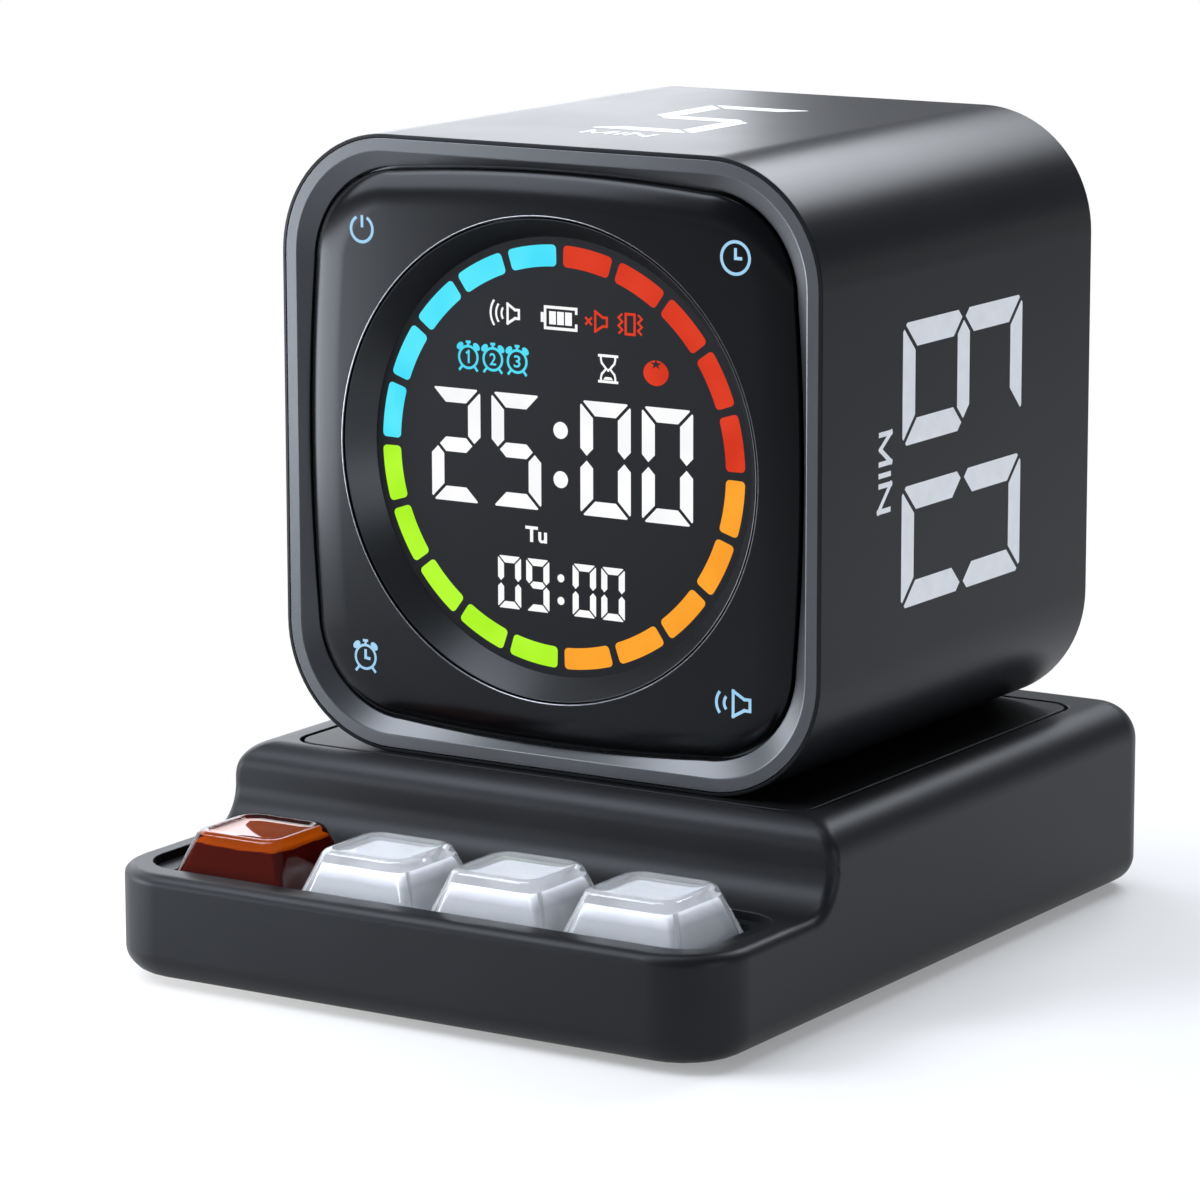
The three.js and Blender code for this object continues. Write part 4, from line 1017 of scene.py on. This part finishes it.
screen = on_front(window_low.y - skin)
ring_inner, ring_outer, block_gap, block_corner = 24.15, 26.9, 1.05, 0.55
ring_colours = {
    "red": ((0.66, 0.032, 0.008), (0.74, 0.045, 0.014)),
    "orange": ((0.94, 0.32, 0.018), (1.0, 0.38, 0.025)),
    "green": ((0.4, 0.9, 0.012), (0.47, 0.98, 0.03)),
    "cyan": ((0.06, 0.74, 0.96), (0.1, 0.82, 1.0)),
}
for quarter, (colour, (dim, bright)) in enumerate(ring_colours.items()):
    blocks = bmesh.new()
    for number in range(5):
        spare = block_gap / 2 / ((ring_inner + ring_outer) / 2)
        start = math.radians(90 - 18 * (quarter * 5 + number)) - spare
        ends = [
            blocks.verts.new((r * mm * math.cos(start), r * mm * math.sin(start), 0))
            for r in (ring_inner, ring_outer)
        ]
        edge = blocks.edges.new(ends)
        before = set(blocks.faces)
        bmesh.ops.spin(
            blocks, geom=ends + [edge], cent=(0, 0, 0), axis=(0, 0, -1), dvec=(0, 0, 0),
            angle=math.radians(18) - 2 * spare, steps=10, use_merge=False, use_duplicate=False,
        )
        strip = [f for f in blocks.faces if f not in before]
        block = bmesh.utils.face_join(strip)
        sharp = [v for v in block.verts if v.calc_edge_angle(0) > math.radians(45)]
        soften(blocks, sharp, block_corner * mm, 4, "VERTICES")
    blocks.normal_update()
    for face in blocks.faces:
        if face.normal.z < 0:
            face.normal_flip()
    bmesh.ops.transform(blocks, matrix=screen, verts=blocks.verts)
    colour_light = lit_mask(f"{colour}_light", dim, bright)
    lit_ring = laid_on(blocks, f"lit_ring_{colour}", colour_light, "cube")
    lit_ring.visible_glossy = False

# Lit time: the large minutes and seconds and the small clock below, in white bars of light.
# The weekday stands between them, all openings in the same printed mask.
white_light = lit_mask("white_light", (0.93, 0.935, 0.95), (1.0, 1.0, 1.0))
time_light = bmesh.new()
big_figure = dict(bottom=-6.9, width=7.42, height=14.55, bar=1.88, gap=0.42, cut=0.6, tip=0.94)
small_figure = dict(bottom=-19.95, width=3.48, height=6.75, bar=0.9, gap=0.2, cut=0.3, tip=0.45)
for figure, left in (("2", -19.4), ("5", -10.3), ("0", 2.95), ("0", 12.0)):
    bar_figure(time_light, figure, left, **big_figure, place=screen)
for figure, left in (("0", -9.45), ("9", -5.2), ("0", 1.75), ("0", 6.0)):
    bar_figure(time_light, figure, left, **small_figure, place=screen)


def flat_disc(bm, x, y, radius, place, steps=32):
    """A round patch, in millimetres."""
    turns = [2 * math.pi * i / steps for i in range(steps)]
    flat_plate(bm, [(x + radius * math.cos(a), y + radius * math.sin(a)) for a in turns], place)


for x, y, radius in ((0.03, 3.55, 1.08), (0.03, -2.7, 1.08), (0, -15.3, 0.52), (0, -18.2, 0.52)):
    flat_disc(time_light, x, y, radius, screen)
add_words(time_light, "Tu", -5.3, -11.1, 3.25, 2.05, screen, 0.03)
laid_on(time_light, "lit_time", white_light, "cube")

# Lit symbols: sound, battery, silent, vibrate, three alarms, sand glass and work timer.
# Small openings in the mask, white, cyan or red according to the lamp behind them.


def arc_points(x, y, radius, start, end, steps=14):
    """Points along part of a circle, angles in degrees from the right, anticlockwise."""
    turns = [math.radians(start + (end - start) * i / steps) for i in range(steps + 1)]
    return [(x + radius * math.cos(a), y + radius * math.sin(a)) for a in turns]


def horn(x, y, wide, tall):
    """Closed outline of a loudspeaker whose mouth looks left."""
    half, neck, throat = wide / 2, wide * 0.16, tall * 0.22
    return [
        (x - half, y + tall / 2), (x - half, y - tall / 2), (x + neck, y - throat),
        (x + half, y - throat), (x + half, y + throat), (x + neck, y + throat),
        (x - half, y + tall / 2),
    ]


def add_alarm_clock(bm, x, y, radius, pen, bell, place):
    """A twin-bell alarm clock: ring, rounded bells, button and two splayed feet."""
    add_lines(bm, [arc_points(x, y, radius, 0, 360, 28)], pen, place)
    for way in (-1, 1):
        lean = math.radians(90 - way * 42)
        out = Vector((math.cos(lean), math.sin(lean)))
        along = Vector((-out.y, out.x))
        middle = Vector((x, y)) + out * (radius + pen / 2 + bell * 0.5)
        turns = [2 * math.pi * i / 20 for i in range(20)]
        wide, high = along * bell * 1.05, out * bell * 0.72
        dome = [middle + wide * math.cos(t) + high * math.sin(t) for t in turns]
        flat_plate(bm, dome, place)
        foot_x = x + way * radius * 0.66
        foot = [(foot_x, y - radius * 0.84), (foot_x + way * radius * 0.34, y - radius * 1.24)]
        add_lines(bm, [foot], pen, place)
    button = [(x - radius * 0.26, y + radius * 1.38), (x + radius * 0.26, y + radius * 1.38)]
    stem = [(x, y + radius), (x, y + radius * 1.36)]
    add_lines(bm, [stem, button], pen, place)


symbols = bmesh.new()
add_lines(symbols, [horn(-6.95, 17.72, 1.68, 2.45)], 0.34, screen)
for reach in (1.15, 1.87, 2.6):
    wave = arc_points(-7.42 - 0.1 * reach, 17.72, reach * 1.02, 180 - 37, 180 + 37)
    add_lines(symbols, [wave], 0.3, screen)
battery = [(2.4, 18.3), (2.4, 19.0), (-2.2, 19.0), (-2.2, 16.35), (2.4, 16.35), (2.4, 17.1)]
add_lines(symbols, [battery], 0.37, screen)
flat_plate(symbols, [(-2.85, 17.05), (-2.4, 17.05), (-2.4, 18.3), (-2.85, 18.3)], screen)
for left in (-1.6, -0.42, 0.76):
    charge = [(left, 16.85), (left + 1.0, 16.85), (left + 1.0, 18.5), (left, 18.5)]
    flat_plate(symbols, charge, screen)
glass_ends = [[(5.6, y), (8.55, y)] for y in (13.5, 10.25)]
add_lines(symbols, glass_ends, 0.34, screen)
for way in (-1, 1):
    glass = [(1.05, 1.5), (1.05, 1.05), (0.9, 0.66), (0.55, 0.3), (0.3, 0)]
    glass += [(x, -y) for x, y in glass[-2::-1]]
    add_lines(symbols, [[(7.07 + way * x, 11.88 + y) for x, y in glass]], 0.28, screen)
flat_plate(symbols, [(6.35, 10.5), (7.8, 10.5), (7.5, 10.85), (6.65, 10.85)], screen)
flat_disc(symbols, 7.07, 11.7, 0.2, screen, 12)
laid_on(symbols, "lit_symbols_white", white_light, "cube")

red_symbols = bmesh.new()
add_lines(red_symbols, [horn(6.05, 17.7, 1.7, 2.5)], 0.32, screen)
cross = [[(3.75, 17.2), (4.7, 18.15)], [(3.75, 18.15), (4.7, 17.2)]]
add_lines(red_symbols, cross, 0.3, screen)
phone = [(9.65, 18.95), (9.65, 16.45), (10.95, 16.45), (10.95, 18.95), (9.65, 18.95)]
add_lines(red_symbols, [phone], 0.34, screen)
for way in (-1, 1):
    zigzag = [(10.3 + way * (1.15 + 0.55 * (i % 2)), 18.95 - 0.5 * i) for i in range(6)]
    add_lines(red_symbols, [zigzag], 0.28, screen)
round_fruit = [
    (14.05 + 1.78 * math.cos(a) * (1 + 0.03 * math.cos(2 * a)), 11.9 + 1.6 * math.sin(a))
    for a in [2 * math.pi * i / 40 for i in range(40)]
]
flat_plate(red_symbols, round_fruit, screen)
red_light = lit_mask("symbol_red_light", (0.66, 0.032, 0.008), (0.74, 0.045, 0.014))
laid_on(red_symbols, "lit_symbols_red", red_light, "cube")

calyx = bmesh.new()
star = [
    (14.05 + (0.92 if i % 2 == 0 else 0.32) * math.cos(math.radians(90 + 36 * i)),
     12.98 + (0.68 if i % 2 == 0 else 0.25) * math.sin(math.radians(90 + 36 * i)))
    for i in range(10)
]
flat_plate(calyx, star, screen @ Matrix.Translation((0, 0, skin)))
laid_on(calyx, "lit_symbol_leaf_mask", smoked_plastic, "cube")

cyan_symbols = bmesh.new()
for number, x in enumerate((-13.75, -10.05, -6.4), 1):
    add_alarm_clock(cyan_symbols, x, 11.75, 1.4, 0.34, 0.56, screen)
    if number == 1:
        one = [(x - 0.34, 12.22), (x + 0.06, 12.5), (x + 0.06, 10.98)]
        add_lines(cyan_symbols, [one], 0.3, screen)
    else:
        add_words(cyan_symbols, str(number), x - 0.5, 10.98, 1.0, 1.55, screen, 0.015)
cyan_light = lit_mask("symbol_cyan_light", (0.06, 0.66, 0.87), (0.09, 0.74, 0.94))
laid_on(cyan_symbols, "lit_symbols_cyan", cyan_light, "cube")

# Touch symbols: four pale blue marks lit through the gloss panel, one in each corner.
# They show where a finger touches for power, clock, alarm and sound.
front = on_front(cube_front - skin)
touch_marks = bmesh.new()
add_lines(
    touch_marks,
    [
        arc_points(-27.4, 27.5, 1.65, 118, 422, 30),
        [(-27.35, 29.25), (-27.35, 27.7)],
        arc_points(27.55, 27.55, 1.98, 0, 360, 36),
        [(27.55, 28.75), (27.55, 27.5), (28.5, 27.5)],
        [(-27.5, -26.75), (-27.5, -27.85), (-26.75, -27.95)],
        horn(28.6, -27.65, 2.4, 3.2),
        arc_points(27.3, -27.65, 1.2, 180 - 42, 180 + 42),
        arc_points(27.1, -27.65, 2.1, 180 - 40, 180 + 40),
    ],
    0.4, front,
)
add_alarm_clock(touch_marks, -27.5, -27.75, 1.55, 0.34, 0.6, front)
pale_blue_light = lit_mask("pale_blue_light", (0.3, 0.58, 0.84), (0.4, 0.68, 0.92))
laid_on(touch_marks, "touch_symbols", pale_blue_light, "cube")

# Works inside the cube: the steel vibration motor with its weight, and the small loudspeaker.
# The motor lies on the frame's deck, and the loudspeaker is glued behind the sound holes.
plated_steel = brushed_metal("plated_steel", (0.5, 0.5, 0.51), (0.68, 0.68, 0.7), 0.2, 0.32)
dress(plated_steel, "vibration_motor", "vibration_weight", "speaker_basket")
cone_paper = moulded_plastic(
    "cone_paper", (0.012, 0.011, 0.01), (0.022, 0.02, 0.019), 0.8, 0.95, 0.5, 0.03
)
dress(cone_paper, "speaker_cone")

# Rear cover: a flat rounded-square plate in satin black that closes the cube's back.
# It is pierced with a rosette of sound holes, four screw seats and the charging opening.
cover_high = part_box("rear_cover")[1]
cover_thick, cover_inset = 2.4 * mm, 2.1 * mm
cover_front = cover_high.y - cover_thick
plate_low = Vector((sleeve_low.x + cover_inset, cover_front, sleeve_low.z + cover_inset))
plate_high = Vector((sleeve_high.x - cover_inset, cover_high.y, sleeve_high.z - cover_inset))
cover = rounded_block(plate_low, plate_high, cube_corner - cover_inset, 1, 14)
round_over(cover, end_face(cover, (0, 1, 0)), 0.3 * mm, 2)
cover_piece = finished(
    cover, "rear_cover_plate", satin_black, "cube", "dock_plastic", "rear_cover", even=False
)
punches = bmesh.new()


def punch(x, z, radius, start, end, steps=24):
    """A round tool through the cover, along Y."""
    place = Matrix.Translation((cube_centre.x + x, (start + end) / 2, cube_centre.z + z))
    bmesh.ops.create_cone(
        punches, cap_ends=True, cap_tris=False, segments=steps, radius1=radius, radius2=radius,
        depth=end - start, matrix=place @ Matrix.Rotation(math.pi / 2, 4, "X"),
    )


hole_pitch, hole_radius, hole_lift = 4.2 * mm, 1.0 * mm, 8 * mm
through = (cover_front - 1 * mm, cover_high.y + 1 * mm)
punch(0, hole_lift, hole_radius, *through)
for ring in (1, 2):
    for i in range(6 * ring):
        turn, reach = 2 * math.pi * i / (6 * ring), ring * hole_pitch
        punch(reach * math.cos(turn), hole_lift + reach * math.sin(turn), hole_radius, *through)
seat_place, seat_radius, seat_depth = 29.45 * mm, 2.9 * mm, 0.9 * mm
for x in (-seat_place, seat_place):
    for z in (-seat_place, seat_place):
        punch(x, z, seat_radius, cover_high.y - seat_depth, through[1], 32)
socket_low, socket_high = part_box("cube_usb_socket")
slot_room, slot_corner = 0.3 * mm, 1.88 * mm
slot_low = Vector((socket_low.x - slot_room, through[0], socket_low.z - slot_room))
slot_high = Vector((socket_high.x + slot_room, through[1], socket_high.z + slot_room))
lay_in(punches, rounded_block(slot_low, slot_high, slot_corner, 1, 8))
bmesh.ops.recalc_face_normals(punches, faces=punches.faces)
punch_piece = new_piece(punches, "punches", satin_black)
piercing = cover_piece.modifiers.new("piercing", "BOOLEAN")
piercing.operation = "DIFFERENCE"
piercing.solver = "EXACT"
piercing.object = punch_piece
bpy.context.view_layer.update()
depsgraph = bpy.context.evaluated_depsgraph_get()
pierced = bpy.data.meshes.new_from_object(cover_piece.evaluated_get(depsgraph))
cover_piece.modifiers.clear()
cover_piece.data = pierced
shade_smooth(pierced, 35)
shade_evenly(cover_piece)
bpy.data.meshes.remove(punch_piece.data)

# Charging inlets: drawn steel mouths with rounded ends and a black contact tongue inside.
# One is at the dock's back and one at the cube's back, each soldered to its small board.
inlet_wall, inlet_depth = 0.35 * mm, 6 * mm
tongue_reach, tongue_back = Vector((3.3 * mm, 0, 0.35 * mm)), 1.2 * mm
for node, body, name in (
    ("base_usb_socket", "dock", "dock_inlet"),
    ("cube_usb_socket", "cube", "cube_inlet"),
):
    low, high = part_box(node)
    inlet = rounded_block(low, high, (high.z - low.z) / 2 - 0.01 * mm, 1, 10)
    mouth = end_face(inlet, (0, 1, 0))
    bmesh.ops.inset_region(inlet, faces=[mouth], thickness=inlet_wall, use_even_offset=True)
    sink_face(inlet, mouth, (0, -inlet_depth, 0))
    finished(inlet, f"{name}_mouth", plated_steel, body, "plain_steel", node)
    root, end = (low + high) / 2, (low + high) / 2
    root.y, end.y = high.y - inlet_depth, high.y - tongue_back
    tongue = rounded_block(root - tongue_reach, end + tongue_reach, 0.3 * mm, 2, 3)
    finished(tongue, f"{name}_tongue", chip_moulding, body, "chip_plastic")

# Studio: a pale floor that keeps the shadow, soft boxes at the left and behind, and the camera.
# The camera stands a little above the object, to the right of its front, with a long lens.
scene = bpy.context.scene
scene.view_settings.view_transform = "Standard"


def studio_floor():
    """White floor that keeps the shadow near the object and fades into plain white away from it."""
    material, tree, shader, place = new_material("studio_floor")
    tree.nodes.remove(shader)
    cloud = add_node(tree, "TexNoise", Vector=place, Scale=3)
    tone = two_tones(tree, cloud.outputs["Fac"], (0.86, 0.87, 0.88), (0.88, 0.885, 0.89))
    matt = add_node(tree, "BsdfDiffuse", Color=tone)
    glow = add_node(tree, "Emission", Strength=1)
    away = add_node(tree, "VectorMath")
    away.operation = "DISTANCE"
    set_input(tree, away.inputs[0], place)
    set_input(tree, away.inputs[1], (0.06, 0.01, 0))
    fade = add_node(
        tree, "MapRange", Value=away.outputs["Value"], From_Min=0.05, From_Max=0.175, To_Min=0.25
    )
    fade.interpolation_type = "SMOOTHSTEP"
    rays = add_node(tree, "LightPath").outputs
    seen = worked_out(tree, "MULTIPLY", rays["Is Camera Ray"], fade.outputs["Result"])
    mirrored = worked_out(tree, "MAXIMUM", rays["Is Glossy Ray"], rays["Is Transmission Ray"])
    mix = add_node(tree, "MixShader", Fac=worked_out(tree, "MULTIPLY_ADD", mirrored, 0.35, seen))
    set_input(tree, mix.inputs[1], matt.outputs["BSDF"])
    set_input(tree, mix.inputs[2], glow.outputs["Emission"])
    plug(tree, tree.nodes["Material Output"], Surface=mix.outputs["Shader"])
    return material


floor_mesh = bmesh.new()
bmesh.ops.create_circle(floor_mesh, cap_ends=True, segments=64, radius=6)
floor = new_piece(floor_mesh, "floor", studio_floor())


def soft_box(name, place, aim, wide, tall, power):
    """A soft lamp that looks at a point."""
    lamp = bpy.data.lights.new(name, "AREA")
    lamp.shape = "RECTANGLE"
    lamp.size, lamp.size_y = wide, tall
    lamp.energy = power
    lamp.color = (0.92, 0.95, 1.0)
    holder = bpy.data.objects.new(name, lamp)
    holder.location = place
    holder.rotation_mode = "QUATERNION"
    holder.rotation_quaternion = (Vector(aim) - Vector(place)).to_track_quat("-Z", "Y")
    holder.visible_camera = False
    scene.collection.objects.link(holder)


soft_box("left_soft_box", (-0.5, 0.02, 0.24), (0, 0, 0.06), 0.35, 0.4, 1.2)
soft_box("low_left_soft_box", (-0.27, -0.2, 0.04), (0, -0.02, 0.05), 0.2, 0.08, 0.7)
soft_box("near_soft_box", (-0.105, -0.125, 0.18), (-0.01, -0.02, 0.1), 0.1, 0.13, 0.33)
soft_box("front_soft_box", (-0.4, -0.48, 0.57), (0, 0, 0.06), 0.3, 0.16, 0.8)
soft_box("right_soft_box", (0.6, -0.15, 0.16), (0, 0, 0.06), 0.2, 0.24, 0.6)
soft_box("rear_soft_box", (0.02, 0.5, 0.47), (0, 0, 0.09), 0.4, 0.16, 3.0)
soft_box("low_rear_soft_box", (-0.245, 0.202, 0.145), (0, 0, 0.08), 0.26, 0.19, 0.5)
soft_box("top_soft_box", (-0.12, -0.12, 0.85), (0, 0, 0.05), 0.4, 0.4, 2.2)

world = bpy.data.worlds.new("studio")
scene.world = world
world.use_nodes = True
tree = world.node_tree
height = add_node(tree, "SeparateXYZ", Vector=add_node(tree, "TexCoord").outputs["Generated"])
wall = two_tones(tree, height.outputs["Z"], (1, 1, 1), (0.2, 0.215, 0.24), 0.02, 0.09)
plug(tree, tree.nodes["Background"], Color=wall, Strength=1)

camera_data = bpy.data.cameras.new("camera")
camera_data.sensor_fit = "HORIZONTAL"
camera_data.sensor_width = 36
camera_data.lens = 159.56
camera_data.clip_start, camera_data.clip_end = 0.05, 50
camera = bpy.data.objects.new("camera", camera_data)
scene.collection.objects.link(camera)
azimuth, elevation, roll = math.radians(32.207), math.radians(11.17), math.radians(-0.122)
looking = Matrix.Rotation(azimuth, 4, "Z") @ Matrix.Rotation(math.pi / 2 - elevation, 4, "X")
camera_place = Matrix.Translation((0.35432816, -0.57239852, 0.17658836))
camera.matrix_world = camera_place @ looking @ Matrix.Rotation(roll, 4, "Z")
scene.camera = camera
